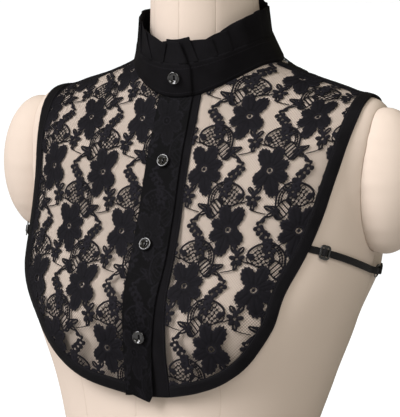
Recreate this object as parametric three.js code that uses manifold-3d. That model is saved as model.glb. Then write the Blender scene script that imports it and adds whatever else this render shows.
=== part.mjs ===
// A lace bib collar buttoned round a limbless dress form, in millimetres.
// +Z is up, the wearer faces -Y and the wearer's left is +X. The origin is the middle of the form's flat base.
import * as THREE from 'three';
import { mergeVertices } from 'three/addons/utils/BufferGeometryUtils.js';
import Module from 'manifold-3d';

const wasm = await Module();
wasm.setup();

const radians = THREE.MathUtils.degToRad;

// ---------- the figure ----------
// One row for each level ring of the dress form, from its base to its neck. side is the half width, and sideY and
// sideZ are where that is; frontY, frontZ, backY and backZ are the ring's front and back; power squares its corners.
const FIGURE = [
  { side: 140, sideY: -16, sideZ: 0, frontY: -122, frontZ: 0, backY: 76, backZ: 0, power: 2.2 },
  { side: 133, sideY: -18, sideZ: 45, frontY: -118, frontZ: 45, backY: 70, backZ: 45, power: 2.2 },
  { side: 113, sideY: -18, sideZ: 97, frontY: -104, frontZ: 97, backY: 56, backZ: 97, power: 2.2 },
  { side: 117, sideY: -15, sideZ: 150, frontY: -106, frontZ: 150, backY: 63, backZ: 150, power: 2.2 },
  { side: 134, sideY: -3, sideZ: 206, frontY: -105, frontZ: 206, backY: 89, backZ: 206, power: 2.3 },
  { side: 150, sideY: 8, sideZ: 255, frontY: -111, frontZ: 255, backY: 112, backZ: 255, power: 2.35 },
  { side: 158, sideY: 12, sideZ: 290, frontY: -110, frontZ: 286, backY: 118, backZ: 290, power: 2.4 },
  { side: 163, sideY: 16, sideZ: 335, frontY: -98, frontZ: 318, backY: 120, backZ: 325, power: 2.4 },
  { side: 166, sideY: 20, sideZ: 395, frontY: -88, frontZ: 346, backY: 118, backZ: 360, power: 2.4 },
  { side: 163, sideY: 24, sideZ: 446, frontY: -78, frontZ: 378, backY: 112, backZ: 395, power: 2.3 },
  { side: 135, sideY: 25, sideZ: 460, frontY: -70, frontZ: 400, backY: 103, backZ: 425, power: 2.2 },
  { side: 100, sideY: 23, sideZ: 471, frontY: -61, frontZ: 420, backY: 92, backZ: 455, power: 2.1 },
  { side: 70, sideY: 14, sideZ: 483, frontY: -51, frontZ: 441, backY: 79, backZ: 490, power: 2.05 },
  { side: 54, sideY: 15, sideZ: 496, frontY: -44, frontZ: 460, backY: 69, backZ: 510, power: 2.0 },
  { side: 49, sideY: 12, sideZ: 516, frontY: -42, frontZ: 486, backY: 63, backZ: 528, power: 2.0 },
  { side: 47, sideY: 9, sideZ: 545, frontY: -42, frontZ: 545, backY: 58, backZ: 545, power: 2.0 },
];
const RING_RISE = 1.8; // how late a ring climbs or drops from its side to its front and back
const BUST = { x: 78, z: 262, halfWidth: 52, halfHeight: 46, out: 14 };
const SHOULDER_CAP = { x: 174, y: 12, z: 387, halfWidth: 41, halfDepth: 35, halfHeight: 64 };

// ---------- the garment ----------
const SEAM_GAP = 0.3;
const BINDING_GAP = 0.4; // the lace's edge and the binding twist a little between the columns of their grids
const LAYERS = { // inner and outer face of each layer of cloth, measured out from the form
  lace: [1.3, 2.3],
  binding: [0.6, 2.9],
  shoulderSeam: [0.5, 2.5],
  underPlacket: [0.6, 1.8],
  placket: [2.2, 3.6],
  underBand: [0.9, 2.4],
  overBand: [2.8, 4.3],
};
const NECKLINE = { front: 12.72, side: 12.0, back: 12.2 }; // levels of the figure's rings
const NECK_SPREAD = 0.15; // share of even spacing along the neckline: the rest crowds towards the centre front
const SHOULDER_TIP_LEVEL = 9.4;
const SHOULDER_SEAM_WIDTH = 9;
const BINDING_WIDTH = 11;
const PLACKET = { left: { top: -17, hem: -14 }, right: { top: 15, hem: 20 } }; // x of its edges
const PLACKET_HEM = { drop: 3, rise: 1.3, blend: 30 }; // it ends below the binding's edge and lies over it
const FLAT_HEM = { drop: 0, rise: 0, blend: 1 };
const UNDER_PLACKET = { left: { top: -11, hem: -8 }, right: { top: 22, hem: 27 } };
const SWAYS = [ // the worn bib lies a little off the middle: towards +X at the armholes, -X at the bust
  { x: -9.3, z: 302, halfHeight: 40 },
  { x: 2, z: 412, halfHeight: 30 },
];
const FRONT_OUTLINE = [ // outer edge of the binding, from the hem at the centre up to the armhole
  { halfWidth: 0, height: 206 },
  { halfWidth: 52, height: 215 },
  { halfWidth: 76, height: 227 },
  { halfWidth: 97, height: 245 },
  { halfWidth: 115.5, height: 269 },
  { halfWidth: 127.5, height: 298 },
  { halfWidth: 135.5, height: 328 },
  { halfWidth: 140.5, height: 362 },
  { halfWidth: 145, height: 395 },
  { halfWidth: 150, height: 425 },
  { halfWidth: 153.5, height: 445 },
];
const BACK_OUTLINE = [
  { halfWidth: 0, height: 238 },
  { halfWidth: 35, height: 240 },
  { halfWidth: 76, height: 253 },
  { halfWidth: 103, height: 276 },
  { halfWidth: 118, height: 305 },
  { halfWidth: 127, height: 340 },
  { halfWidth: 134, height: 380 },
  { halfWidth: 141, height: 417 },
  { halfWidth: 148, height: 440 },
];
const HEM_ROUND = 225; // radius of the hem's curve at the centre front
const HANG = { out: 6, top: 280, bottom: 212 }; // the bib falls clear of the form below the bust
const BRIDGE = { out: 6, halfWidth: 34, z: 300, halfHeight: 50 }; // and spans the hollow between the breasts
const FLANK = { out: 7, turn: -62, halfTurn: 20, z: 292, halfHeight: 48 }; // wearer's right side stands off
const BACK_EASE = 0.6; // the back bib lies this much looser than the shoulders

// The collar's rings: the seam between band and ruffle, and the ruffle's top edge.
const COLLAR_SEAM = { side: 58, sideY: 11, sideZ: 506, frontY: -50, frontZ: 485, backY: 70, backZ: 521, power: 2.0 };
const COLLAR_TOP = { side: 53.5, sideY: 10, sideZ: 529, frontY: -48, frontZ: 505, backY: 67, backZ: 543, power: 2.0 };
const RUFFLE = { pleats: 20, depth: 2.6, samples: 5, wall: 1.2, fold: 0.8, seamShare: 0.15 };
const OVERLAP_TURN = { from: -75, to: -22 }; // where the buttoning end of the collar climbs over the other end

const BUTTON = { radius: 5.7, thickness: 2.6, rim: 1.1, dish: 0.9, holeRadius: 0.8, holeOffset: 1.35 };
const BAND_BUTTON = { x: 1, share: 0.57 }; // share of the band's height
const PLACKET_BUTTONS = [
  { x: 1, height: 401 },
  { x: -2, height: 331 },
  { x: 3, height: 259 },
];

const STRAP = { width: 6, wall: 1.0, lift: 0.5, stackGap: 0.4 };
const STRAP_HEIGHTS = { front: 334, back: 299 }; // where the straps leave the bindings
const STRAP_START_GAPS = { front: 0.8, back: 1.4 }; // their square ends meet slanting edges
const RING_PLACE = { turn: radians(91), level: 6.38 };
const RING = { radius: 5.6, wire: 0.6, lift: 3.1, strapInset: 0.55 };
const LOOP_RADIUS = 2.25; // middle of the strap where it turns round the ring
const SLIDER = { place: 12.5, length: 10, height: 12.5, corner: 3, thickness: 1.3, slot: 2.2, bar: 2, rail: 2.2 };
const BACK_LOOP_RETURN = 16;

const colours = {
  formCloth: 0xcfc0a8,
  lace: 0x14121a,
  solidCloth: 0x121117,
  elastic: 0x0f0e12,
  plastic: 0x0a0a0d,
};

const clamp = THREE.MathUtils.clamp;
const smoothstep = THREE.MathUtils.smoothstep;
const mix = (a, b, t) => a + (b - a) * t;
const bell = (x, middle, half) => Math.exp(-(((x - middle) / half) ** 2));

// ---------- points of the figure ----------
function catmull(rows, place) {
  const last = rows.length - 1;
  const at = clamp(place, 0, last);
  const i = Math.min(Math.floor(at), last - 1);
  const t = at - i;
  const a = rows[Math.max(i - 1, 0)];
  const b = rows[i];
  const c = rows[i + 1];
  const d = rows[Math.min(i + 2, last)];
  const row = {};
  for (const key of Object.keys(b)) {
    const linear = (c[key] - a[key]) * t;
    const square = (2 * a[key] - 5 * b[key] + 4 * c[key] - d[key]) * t * t;
    const cube = (3 * b[key] - a[key] - 3 * c[key] + d[key]) * t ** 3;
    row[key] = 0.5 * (2 * b[key] + linear + square + cube);
  }
  return row;
}

// turn is 0 at the centre front, 90 degrees at the wearer's left and 180 at the centre back.
function ringPoint(row, turn) {
  const s = Math.sin(turn);
  const c = Math.cos(turn);
  const x = row.side * Math.sign(s) * Math.abs(s) ** (2 / row.power);
  const reach = Math.abs(c) ** (2 / row.power);
  const [endY, endZ] = c > 0 ? [row.frontY, row.frontZ] : [row.backY, row.backZ];
  const y = row.sideY + (endY - row.sideY) * reach;
  const z = row.sideZ + (endZ - row.sideZ) * reach ** RING_RISE;
  const breasts = bell(x, BUST.x, BUST.halfWidth) + bell(x, -BUST.x, BUST.halfWidth);
  const swell = c > 0 ? BUST.out * reach * breasts * bell(z, BUST.z, BUST.halfHeight) : 0;
  return new THREE.Vector3(x, y - swell, z);
}

const figurePoint = (turn, level) => ringPoint(catmull(FIGURE, level), turn);

function figureNormal(turn, level) {
  const step = 1e-3;
  const high = Math.min(level + step, FIGURE.length - 1);
  const low = Math.max(level - step, 0);
  const along = figurePoint(turn + step, level).sub(figurePoint(turn - step, level));
  const up = figurePoint(turn, high).sub(figurePoint(turn, low));
  return along.cross(up).normalize();
}

function standOff(turn, p) {
  const front = Math.cos(turn);
  if (front <= 0) return BACK_EASE * smoothstep(-front, 0, 0.3);
  const hang = HANG.out * (1 - smoothstep(p.z, HANG.bottom, HANG.top)) * Math.sqrt(front);
  const bridge = BRIDGE.out * bell(p.x, 0, BRIDGE.halfWidth) * bell(p.z, BRIDGE.z, BRIDGE.halfHeight);
  const flank = FLANK.out * bell(turn, radians(FLANK.turn), radians(FLANK.halfTurn));
  return hang + bridge + flank * bell(p.z, FLANK.z, FLANK.halfHeight);
}

function clothPoint(turn, level, lift) {
  const p = figurePoint(turn, level);
  return p.addScaledVector(figureNormal(turn, level), lift + standOff(turn, p));
}

function clothNormal(turn, level) {
  const step = 1e-3;
  const along = clothPoint(turn + step, level, 0).sub(clothPoint(turn - step, level, 0));
  const up = clothPoint(turn, level + step, 0).sub(clothPoint(turn, level - step, 0));
  return along.cross(up).normalize();
}

function turnAt(x, level, back) {
  const row = catmull(FIGURE, level);
  const share = Math.min(Math.abs(x) / row.side, 1) ** (row.power / 2);
  const turn = Math.asin(share);
  return Math.sign(x) * (back ? Math.PI - turn : turn);
}

// The turn and level of the figure's point at a given x and height.
function locate(x, z, back) {
  let low = 3;
  let high = NECKLINE.front;
  for (let i = 0; i < 40; i += 1) {
    const middle = (low + high) / 2;
    const found = figurePoint(turnAt(x, middle, back), middle).z;
    if (found < z) low = middle;
    else high = middle;
  }
  return { turn: turnAt(x, low, back), level: low };
}

function neckLevel(turn) {
  const c = Math.cos(turn);
  const end = c > 0 ? NECKLINE.front : NECKLINE.back;
  return NECKLINE.side + (end - NECKLINE.side) * Math.abs(c);
}

function panelTop(turn) {
  const level = neckLevel(turn);
  const step = 0.01;
  const speed = figurePoint(turn, level).distanceTo(figurePoint(turn, level - step)) / step;
  return level - SEAM_GAP / speed;
}

// The turn of the line that runs beside the shoulder ridge, in front of it or, where distance is negative, behind.
function besideRidge(level, distance) {
  const row = catmull(FIGURE, level);
  const reach = Math.abs(distance / ((distance > 0 ? row.frontY : row.backY) - row.sideY));
  const offset = Math.acos(reach ** (row.power / 2));
  return distance > 0 ? offset : Math.PI - offset;
}

// ---------- closed walls ----------
// at(u, v, lift) gives a point; the wall lies between its lifts low and high and is closed at its four edges.
function wall(at, columns, rows, [low, high]) {
  const positions = [];
  const faces = [];
  for (const lift of [high, low]) {
    for (let j = 0; j <= rows; j += 1) {
      for (let i = 0; i <= columns; i += 1) {
        const p = at(i / columns, j / rows, lift);
        positions.push(p.x, p.y, p.z);
      }
    }
  }
  const layer = (columns + 1) * (rows + 1);
  const index = (i, j, side) => side * layer + j * (columns + 1) + i;
  const quad = (a, b, c, d) => faces.push(a, b, c, a, c, d);
  for (let j = 0; j < rows; j += 1) {
    for (let i = 0; i < columns; i += 1) {
      quad(index(i, j, 0), index(i + 1, j, 0), index(i + 1, j + 1, 0), index(i, j + 1, 0));
      quad(index(i, j, 1), index(i, j + 1, 1), index(i + 1, j + 1, 1), index(i + 1, j, 1));
    }
  }
  for (let i = 0; i < columns; i += 1) {
    quad(index(i, 0, 1), index(i + 1, 0, 1), index(i + 1, 0, 0), index(i, 0, 0));
    quad(index(i, rows, 0), index(i + 1, rows, 0), index(i + 1, rows, 1), index(i, rows, 1));
  }
  for (let j = 0; j < rows; j += 1) {
    quad(index(0, j, 0), index(0, j + 1, 0), index(0, j + 1, 1), index(0, j, 1));
    quad(index(columns, j, 1), index(columns, j + 1, 1), index(columns, j + 1, 0), index(columns, j, 0));
  }
  return facingOut(positions, faces);
}

function facingOut(positions, faces) {
  const corner = (k) => new THREE.Vector3().fromArray(positions, 3 * k);
  let volume = 0;
  for (let k = 0; k < faces.length; k += 3) {
    volume += corner(faces[k]).dot(corner(faces[k + 1]).cross(corner(faces[k + 2])));
  }
  const geometry = new THREE.BufferGeometry();
  geometry.setAttribute('position', new THREE.Float32BufferAttribute(positions, 3));
  geometry.setIndex(volume > 0 ? faces : faces.reverse());
  return geometry;
}

// A closed body through level rings, each a list of points, with flat ends.
function loft(rings) {
  const count = rings[0].length;
  const positions = rings.flat().flatMap((p) => p.toArray());
  const faces = [];
  for (let j = 0; j + 1 < rings.length; j += 1) {
    for (let i = 0; i < count; i += 1) {
      const a = j * count + i;
      const b = j * count + ((i + 1) % count);
      faces.push(a, b, b + count, a, b + count, a + count);
    }
  }
  for (const j of [0, rings.length - 1]) {
    const middle = rings[j].reduce((sum, p) => sum.add(p), new THREE.Vector3()).divideScalar(count);
    const tip = positions.length / 3;
    positions.push(...middle.toArray());
    for (let i = 0; i < count; i += 1) {
      const a = j * count + i;
      const b = j * count + ((i + 1) % count);
      faces.push(...(j === 0 ? [b, a, tip] : [a, b, tip]));
    }
  }
  return facingOut(positions, faces);
}

function toManifold(geometry) {
  const bare = geometry.clone();
  bare.deleteAttribute('normal');
  bare.deleteAttribute('uv');
  const merged = mergeVertices(bare, 1e-5);
  const vertProperties = Float32Array.from(merged.attributes.position.array);
  return new wasm.Manifold(new wasm.Mesh({ numProp: 3, vertProperties, triVerts: Uint32Array.from(merged.index.array) }));
}

function fromManifold(solid) {
  const mesh = solid.getMesh();
  const geometry = new THREE.BufferGeometry();
  geometry.setAttribute('position', new THREE.BufferAttribute(mesh.vertProperties, 3));
  geometry.setIndex(new THREE.BufferAttribute(mesh.triVerts, 1));
  return geometry;
}

// ---------- the dress form ----------
function torso(offset, perLevel, around) {
  const rings = [];
  const steps = (FIGURE.length - 1) * perLevel;
  for (let j = 0; j <= steps; j += 1) {
    const ring = [];
    for (let i = 0; i < around; i += 1) {
      const turn = (i / around) * 2 * Math.PI;
      const p = figurePoint(turn, j / perLevel);
      ring.push(offset > 0 ? p.addScaledVector(figureNormal(turn, j / perLevel), offset) : p);
    }
    rings.push(ring);
  }
  return loft(rings);
}

function shoulderCap(side) {
  const cap = SHOULDER_CAP;
  const ball = new THREE.SphereGeometry(1, 26, 18);
  ball.scale(cap.halfWidth, cap.halfDepth, cap.halfHeight);
  ball.translate(side * cap.x, cap.y, cap.z);
  return fromManifold(toManifold(ball).subtract(toManifold(torso(SEAM_GAP, 2, 40))));
}

// ---------- lace panels and their binding ----------
// A patch lies between neck(u) and outline(u), which give places, each a turn and a level. startAt(level) and
// endAt(level) are its two other edges, where u is 0 and 1.
function patchPoint(patch, u, v) {
  const inner = [patch.neck(0), patch.neck(1)];
  const outer = [patch.outline(0), patch.outline(1)];
  const start = patch.startAt(mix(inner[0].level, outer[0].level, v));
  const end = patch.endAt(mix(inner[1].level, outer[1].level, v));
  const neck = patch.neck(u);
  const outline = patch.outline(u);
  const blended = {};
  for (const key of ['turn', 'level']) {
    const ruled = mix(neck[key], outline[key], v) + mix(start[key], end[key], u);
    const corners = mix(mix(inner[0][key], inner[1][key], u), mix(outer[0][key], outer[1][key], u), v);
    blended[key] = ruled - corners;
  }
  return blended;
}

// The place a distance inside the outline, square to it on the cloth; at the patch's ends it follows the edge.
function insetPlace(patch, u, distance) {
  if (u === 0) return walkEdge(patch.startAt, patch.outline(0).level, distance);
  if (u === 1) return walkEdge(patch.endAt, patch.outline(1).level, distance);
  const pointAt = (place) => clothPoint(place.turn, place.level, 0);
  const small = 1e-3;
  const place = patch.outline(u);
  const inside = pointAt(patch.neck(u)).sub(pointAt(place));
  const tangent = pointAt(patch.outline(u + small)).sub(pointAt(patch.outline(u - small))).normalize();
  const square = clothNormal(place.turn, place.level).cross(tangent);
  const steps = 4;
  const move = square.multiplyScalar((Math.sign(square.dot(inside)) * distance) / steps);
  for (let k = 0; k < steps; k += 1) {
    const here = pointAt(place);
    const byTurn = clothPoint(place.turn + small, place.level, 0).sub(here).divideScalar(small);
    const byLevel = clothPoint(place.turn, place.level + small, 0).sub(here).divideScalar(small);
    const [tt, tl, ll] = [byTurn.dot(byTurn), byTurn.dot(byLevel), byLevel.dot(byLevel)];
    const [t, l] = [move.dot(byTurn), move.dot(byLevel)];
    place.turn += (t * ll - l * tl) / (tt * ll - tl * tl);
    place.level += (l * tt - t * tl) / (tt * ll - tl * tl);
  }
  return place;
}

function walkEdge(edgeAt, from, distance) {
  const step = 0.005;
  const pointAt = (level) => clothPoint(edgeAt(level).turn, level, 0);
  let level = from;
  let walked = 0;
  while (walked < distance) {
    walked += pointAt(level).distanceTo(pointAt(level + step));
    level += step;
  }
  return edgeAt(level);
}

const hemHeight = (x) => FRONT_OUTLINE[0].height + (x * x) / (2 * HEM_ROUND);
const swayAt = (z) => SWAYS.reduce((sum, sway) => sum + sway.x * bell(z, sway.z, sway.halfHeight), 0);

function frontPatch(side, edge) {
  const seamGap = SHOULDER_SEAM_WIDTH / 2 + SEAM_GAP;
  const seamTurn = (level) => side * besideRidge(level, seamGap);
  const sideRows = FRONT_OUTLINE.slice(1);
  const hem = locate(edge.hem, hemHeight(edge.hem), false);
  const places = [
    hem,
    ...sideRows.map((row) => locate(side * row.halfWidth + swayAt(row.height), row.height, false)),
    { turn: seamTurn(SHOULDER_TIP_LEVEL), level: SHOULDER_TIP_LEVEL },
  ];
  const neckStart = neckPlace(edge.top);
  const neckEnd = seamTurn(NECKLINE.side);
  return {
    neck: (u) => {
      const turn = mix(neckStart.turn, neckEnd, mix(u * u, u, NECK_SPREAD));
      return { turn, level: panelTop(turn) };
    },
    outline: (u) => catmull(places, u * (places.length - 1)),
    startAt: (level) => {
      const share = (level - neckStart.level) / (hem.level - neckStart.level);
      return { turn: turnAt(mix(edge.top, edge.hem, share), level, false), level };
    },
    endAt: (level) => ({ turn: seamTurn(level), level }),
  };
}

// Where the line at a given x meets the neckline in front.
function neckPlace(x) {
  let level = NECKLINE.front;
  for (let i = 0; i < 8; i += 1) level = panelTop(turnAt(x, level, false));
  return { turn: turnAt(x, level, false), level };
}

function backPatch() {
  const seamGap = SHOULDER_SEAM_WIDTH / 2 + SEAM_GAP;
  const seamTurn = (level, side) => {
    const turn = besideRidge(level, -seamGap);
    return side > 0 ? turn : 2 * Math.PI - turn;
  };
  const half = BACK_OUTLINE.map((row) => locate(Math.max(row.halfWidth, 1e-6), row.height, true));
  half.push({ turn: seamTurn(SHOULDER_TIP_LEVEL, 1), level: SHOULDER_TIP_LEVEL });
  const mirrored = half.slice(1).map(({ turn, level }) => ({ turn: 2 * Math.PI - turn, level }));
  const places = [...half.reverse(), ...mirrored];
  return {
    neck: (u) => {
      const turn = mix(seamTurn(NECKLINE.side, 1), seamTurn(NECKLINE.side, -1), u);
      return { turn, level: panelTop(turn) };
    },
    outline: (u) => catmull(places, u * (places.length - 1)),
    startAt: (level) => ({ turn: seamTurn(level, 1), level }),
    endAt: (level) => ({ turn: seamTurn(level, -1), level }),
  };
}

function lacePanel(patch, columns, rows) {
  const inner = { ...patch, outline: (u) => insetPlace(patch, u, BINDING_WIDTH + BINDING_GAP) };
  return wall((u, v, lift) => {
    const place = patchPoint(inner, u, v);
    return clothPoint(place.turn, place.level, lift);
  }, columns, rows, LAYERS.lace);
}

function binding(patch, columns) {
  return wall((u, v, lift) => {
    const place = insetPlace(patch, u, BINDING_WIDTH * (1 - v));
    return clothPoint(place.turn, place.level, lift);
  }, columns, 2, LAYERS.binding);
}

function shoulderSeam(side, steps) {
  const half = SHOULDER_SEAM_WIDTH / 2;
  return wall((u, v, lift) => {
    const level = mix(panelTop(side * Math.PI / 2), SHOULDER_TIP_LEVEL, u);
    const front = besideRidge(level, half);
    const back = besideRidge(level, -half);
    return clothPoint(side * mix(front, back, v), level, lift);
  }, steps, 4, LAYERS.shoulderSeam);
}

// ---------- front strips ----------
function frontStrip(left, right, steps, layers, { drop, rise, blend }) {
  return wall((u, v, lift) => {
    const top = neckPlace(mix(left.top, right.top, u)).level;
    const hemX = mix(left.hem, right.hem, u);
    const hemZ = hemHeight(hemX);
    const bottom = locate(hemX, hemZ - drop * u, false).level;
    const level = mix(top, bottom, v);
    const turn = turnAt(mix(mix(left.top, left.hem, v), mix(right.top, right.hem, v), u), level, false);
    const height = figurePoint(turn, level).z - hemZ - BINDING_WIDTH;
    return clothPoint(turn, level, lift + rise * (1 - smoothstep(height, 0, blend)));
  }, 4, steps, layers);
}

// ---------- band and ruffle ----------
// The collar starts under its own buttoning end, goes round the back and ends over its start.
function collarTurns(underX, overX) {
  return { start: neckPlace(underX).turn, end: 2 * Math.PI + neckPlace(overX).turn };
}

// 0 on the under end and 1 on the buttoning end.
function overlapShare(turn) {
  const past = turn - 2 * Math.PI;
  return smoothstep(past, radians(OVERLAP_TURN.from), radians(OVERLAP_TURN.to));
}

function bandLift(turn, face) {
  return mix(LAYERS.underBand[face], LAYERS.overBand[face], overlapShare(turn));
}

function ringOutward(row, turn) {
  const step = 1e-3;
  const along = ringPoint(row, turn + step).sub(ringPoint(row, turn - step));
  return new THREE.Vector3(along.y, -along.x, 0).normalize();
}

function collarPoint(row, turn, out) {
  const p = ringPoint(row, turn);
  return p.addScaledVector(ringOutward(row, turn), out);
}

function collarBand(columns) {
  const { start, end } = collarTurns(UNDER_PLACKET.left.top, PLACKET.right.top);
  return wall((u, v, face) => {
    const turn = mix(start, end, u);
    const out = bandLift(turn, face);
    const foot = clothPoint(turn, neckLevel(turn), out);
    return foot.lerp(collarPoint(COLLAR_SEAM, turn, out), v);
  }, columns, 3, [0, 1]);
}

// A knife pleat: the cloth climbs slowly, then folds back.
function pleatWave(turn) {
  const phase = ((turn / (2 * Math.PI)) * RUFFLE.pleats) % 1;
  return phase < RUFFLE.fold ? phase / RUFFLE.fold : (1 - phase) / (1 - RUFFLE.fold);
}

function collarRuffle() {
  const edge = neckPlace(PLACKET.right.top).turn;
  const gapTurn = SEAM_GAP / COLLAR_TOP.side;
  const columns = RUFFLE.pleats * RUFFLE.samples;
  return wall((u, v, face) => {
    const turn = mix(edge + gapTurn, edge + 2 * Math.PI - gapTurn, u);
    const depth = RUFFLE.depth * mix(RUFFLE.seamShare, 1, v) * pleatWave(turn);
    const out = bandLift(turn, 0) + face * RUFFLE.wall + depth;
    const foot = collarPoint(COLLAR_SEAM, turn, out);
    foot.z += SEAM_GAP;
    return foot.lerp(collarPoint(COLLAR_TOP, turn, out), v);
  }, columns, 2, [0, 1]);
}

// ---------- buttons ----------
function buttonBody() {
  const { radius, thickness, rim, dish, holeRadius, holeOffset } = BUTTON;
  const profile = [
    new THREE.Vector2(0, 0),
    new THREE.Vector2(radius - 0.8, 0),
    new THREE.Vector2(radius, 0.9),
    new THREE.Vector2(radius, thickness - 0.5),
    new THREE.Vector2(radius - rim / 2, thickness),
    new THREE.Vector2(radius - rim, thickness - 0.3),
    new THREE.Vector2(radius - rim - 0.9, thickness - dish),
    new THREE.Vector2(0, thickness - dish - 0.1),
  ];
  const lathe = new THREE.LatheGeometry(profile, 18);
  lathe.rotateX(Math.PI / 2);
  let solid = toManifold(facingOut([...lathe.attributes.position.array], [...lathe.index.array]));
  for (const side of [-1, 1]) {
    const drill = new THREE.CylinderGeometry(holeRadius, holeRadius, 3 * thickness, 8);
    drill.rotateX(Math.PI / 2);
    drill.translate(0, side * holeOffset, 0);
    solid = solid.subtract(toManifold(drill));
  }
  return fromManifold(solid);
}

function settle(geometry, origin, xAxis, yAxis, zAxis) {
  const basis = new THREE.Matrix4().makeBasis(xAxis, yAxis, zAxis);
  geometry.applyMatrix4(basis.setPosition(origin));
  return geometry;
}

function facing(geometry, origin, normal) {
  const xAxis = new THREE.Vector3(0, 0, 1).cross(normal).normalize();
  return settle(geometry, origin, xAxis, normal.clone().cross(xAxis), normal);
}

function placketButton({ x, height }) {
  const { turn, level } = locate(x, height, false);
  const origin = clothPoint(turn, level, LAYERS.placket[1] + SEAM_GAP + 0.1);
  return facing(buttonBody(), origin, clothNormal(turn, level));
}

function bandButton() {
  const turn = neckPlace(BAND_BUTTON.x).turn;
  const out = LAYERS.overBand[1];
  const foot = clothPoint(turn, neckLevel(turn), out);
  const top = collarPoint(COLLAR_SEAM, turn, out);
  const normal = new THREE.Vector3(1, 0, 0).cross(top.clone().sub(foot)).normalize();
  const origin = foot.lerp(top, BAND_BUTTON.share).addScaledVector(normal, SEAM_GAP + 0.2);
  return facing(buttonBody(), origin, normal);
}

// ---------- straps, sliders and rings ----------
// A route runs straight between two places of the figure and is measured in millimetres along the cloth.
function strapRoute(from, to) {
  const arrived = 80;
  const samples = 96;
  const reach = samples / arrived;
  const place = (t) => [mix(from.turn, to.turn, t), mix(from.level, to.level, t)];
  const lengths = [0];
  for (let k = 1; k <= samples; k += 1) {
    const before = clothPoint(...place(((k - 1) * reach) / samples), 0);
    lengths.push(lengths[k - 1] + clothPoint(...place((k * reach) / samples), 0).distanceTo(before));
  }
  const shareAt = (distance) => {
    let k = 1;
    while (k < samples && lengths[k] < distance) k += 1;
    return ((k - 1 + (distance - lengths[k - 1]) / (lengths[k] - lengths[k - 1])) * reach) / samples;
  };
  const frame = (distance) => {
    const here = place(shareAt(distance));
    const origin = clothPoint(...here, 0);
    const normal = clothNormal(...here);
    const ahead = clothPoint(...place(shareAt(distance + 1)), 0).sub(origin);
    const along = ahead.addScaledVector(normal, -ahead.dot(normal)).normalize();
    return { origin, along, normal, across: normal.clone().cross(along) };
  };
  const at = (distance, across, lift) => {
    const f = frame(distance);
    return f.origin.addScaledVector(f.across, across).addScaledVector(f.normal, lift);
  };
  return { at, frame, length: lengths[arrived] };
}

// The middle line of a strap that lies on the form, turns round the ring's wire and comes back on itself.
function strapLine(turnAtDistance, returnTo) {
  const low = STRAP.lift + STRAP.wall / 2;
  const high = low + STRAP.wall + STRAP.stackGap;
  const line = [];
  const straight = 12;
  for (let k = 0; k <= straight; k += 1) line.push([mix(SEAM_GAP, turnAtDistance, k / straight), low]);
  for (let k = 1; k < 8; k += 1) {
    const angle = -Math.PI / 2 + (k / 8) * Math.PI;
    line.push([turnAtDistance + LOOP_RADIUS * Math.cos(angle), low + LOOP_RADIUS * (1 + Math.sin(angle))]);
  }
  const back = 10;
  for (let k = 0; k <= back; k += 1) {
    const distance = mix(turnAtDistance, returnTo, k / back);
    const settled = smoothstep(turnAtDistance - distance, 0, 9);
    line.push([distance, mix(low + 2 * LOOP_RADIUS, high, settled)]);
  }
  return line;
}

function strap(route, turnAtDistance, returnTo) {
  const line = strapLine(turnAtDistance, returnTo);
  return wall((u, v, lift) => {
    const k = Math.round(u * (line.length - 1));
    const before = line[Math.max(k - 1, 0)];
    const after = line[Math.min(k + 1, line.length - 1)];
    const run = [after[0] - before[0], after[1] - before[1]];
    const size = Math.hypot(...run);
    const distance = line[k][0] + (lift * run[1]) / size;
    return route.at(distance, (v - 0.5) * STRAP.width, line[k][1] - (lift * run[0]) / size);
  }, line.length - 1, 1, [-STRAP.wall / 2, STRAP.wall / 2]);
}

function roundedOutline(width, height, corner) {
  const points = [];
  const steps = 4;
  [[1, 1], [-1, 1], [-1, -1], [1, -1]].forEach(([right, up], quarter) => {
    for (let k = 0; k <= steps; k += 1) {
      const angle = ((quarter + k / steps) * Math.PI) / 2;
      const x = right * (width / 2 - corner) + corner * Math.cos(angle);
      points.push(new THREE.Vector2(x, up * (height / 2 - corner) + corner * Math.sin(angle)));
    }
  });
  return new THREE.Shape(points);
}

function slider(route) {
  const outline = roundedOutline(SLIDER.length, SLIDER.height, SLIDER.corner);
  const { thickness, slot, bar } = SLIDER;
  let plate = toManifold(new THREE.ExtrudeGeometry(outline, { depth: thickness, bevelEnabled: false }));
  for (const side of [-1, 1]) {
    const cutter = new THREE.BoxGeometry(slot, SLIDER.height - 2 * SLIDER.rail, 3 * thickness);
    cutter.translate((side * (bar + slot)) / 2, 0, thickness / 2);
    plate = plate.subtract(toManifold(cutter));
  }
  const { along, across, normal } = route.frame(SLIDER.place);
  const origin = route.at(SLIDER.place, 0, STRAP.lift + STRAP.wall + STRAP.stackGap);
  return settle(fromManifold(plate), origin, along, across, normal);
}

function ring(route) {
  const { along, across, normal } = route.frame(route.length);
  const origin = route.at(route.length, 0, RING.lift);
  return settle(new THREE.TorusGeometry(RING.radius, RING.wire, 8, 24), origin, along, across, normal);
}

// ---------- the whole ----------
const group = new THREE.Group();

function addPiece(name, geometry, color, roughness) {
  const material = new THREE.MeshStandardMaterial({ color, roughness, metalness: 0 });
  const mesh = new THREE.Mesh(geometry, material);
  mesh.name = name;
  group.add(mesh);
}

function addForm() {
  addPiece('form_torso', torso(0, 2, 40), colours.formCloth, 0.9);
  addPiece('form_cap_left', shoulderCap(1), colours.formCloth, 0.9);
  addPiece('form_cap_right', shoulderCap(-1), colours.formCloth, 0.9);
}

const beside = (edge, gap) => ({ top: edge.top + gap, hem: edge.hem + gap });

const right = frontPatch(-1, beside(PLACKET.left, -SEAM_GAP));
const left = frontPatch(1, beside(UNDER_PLACKET.right, SEAM_GAP));
const back = backPatch();

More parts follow.
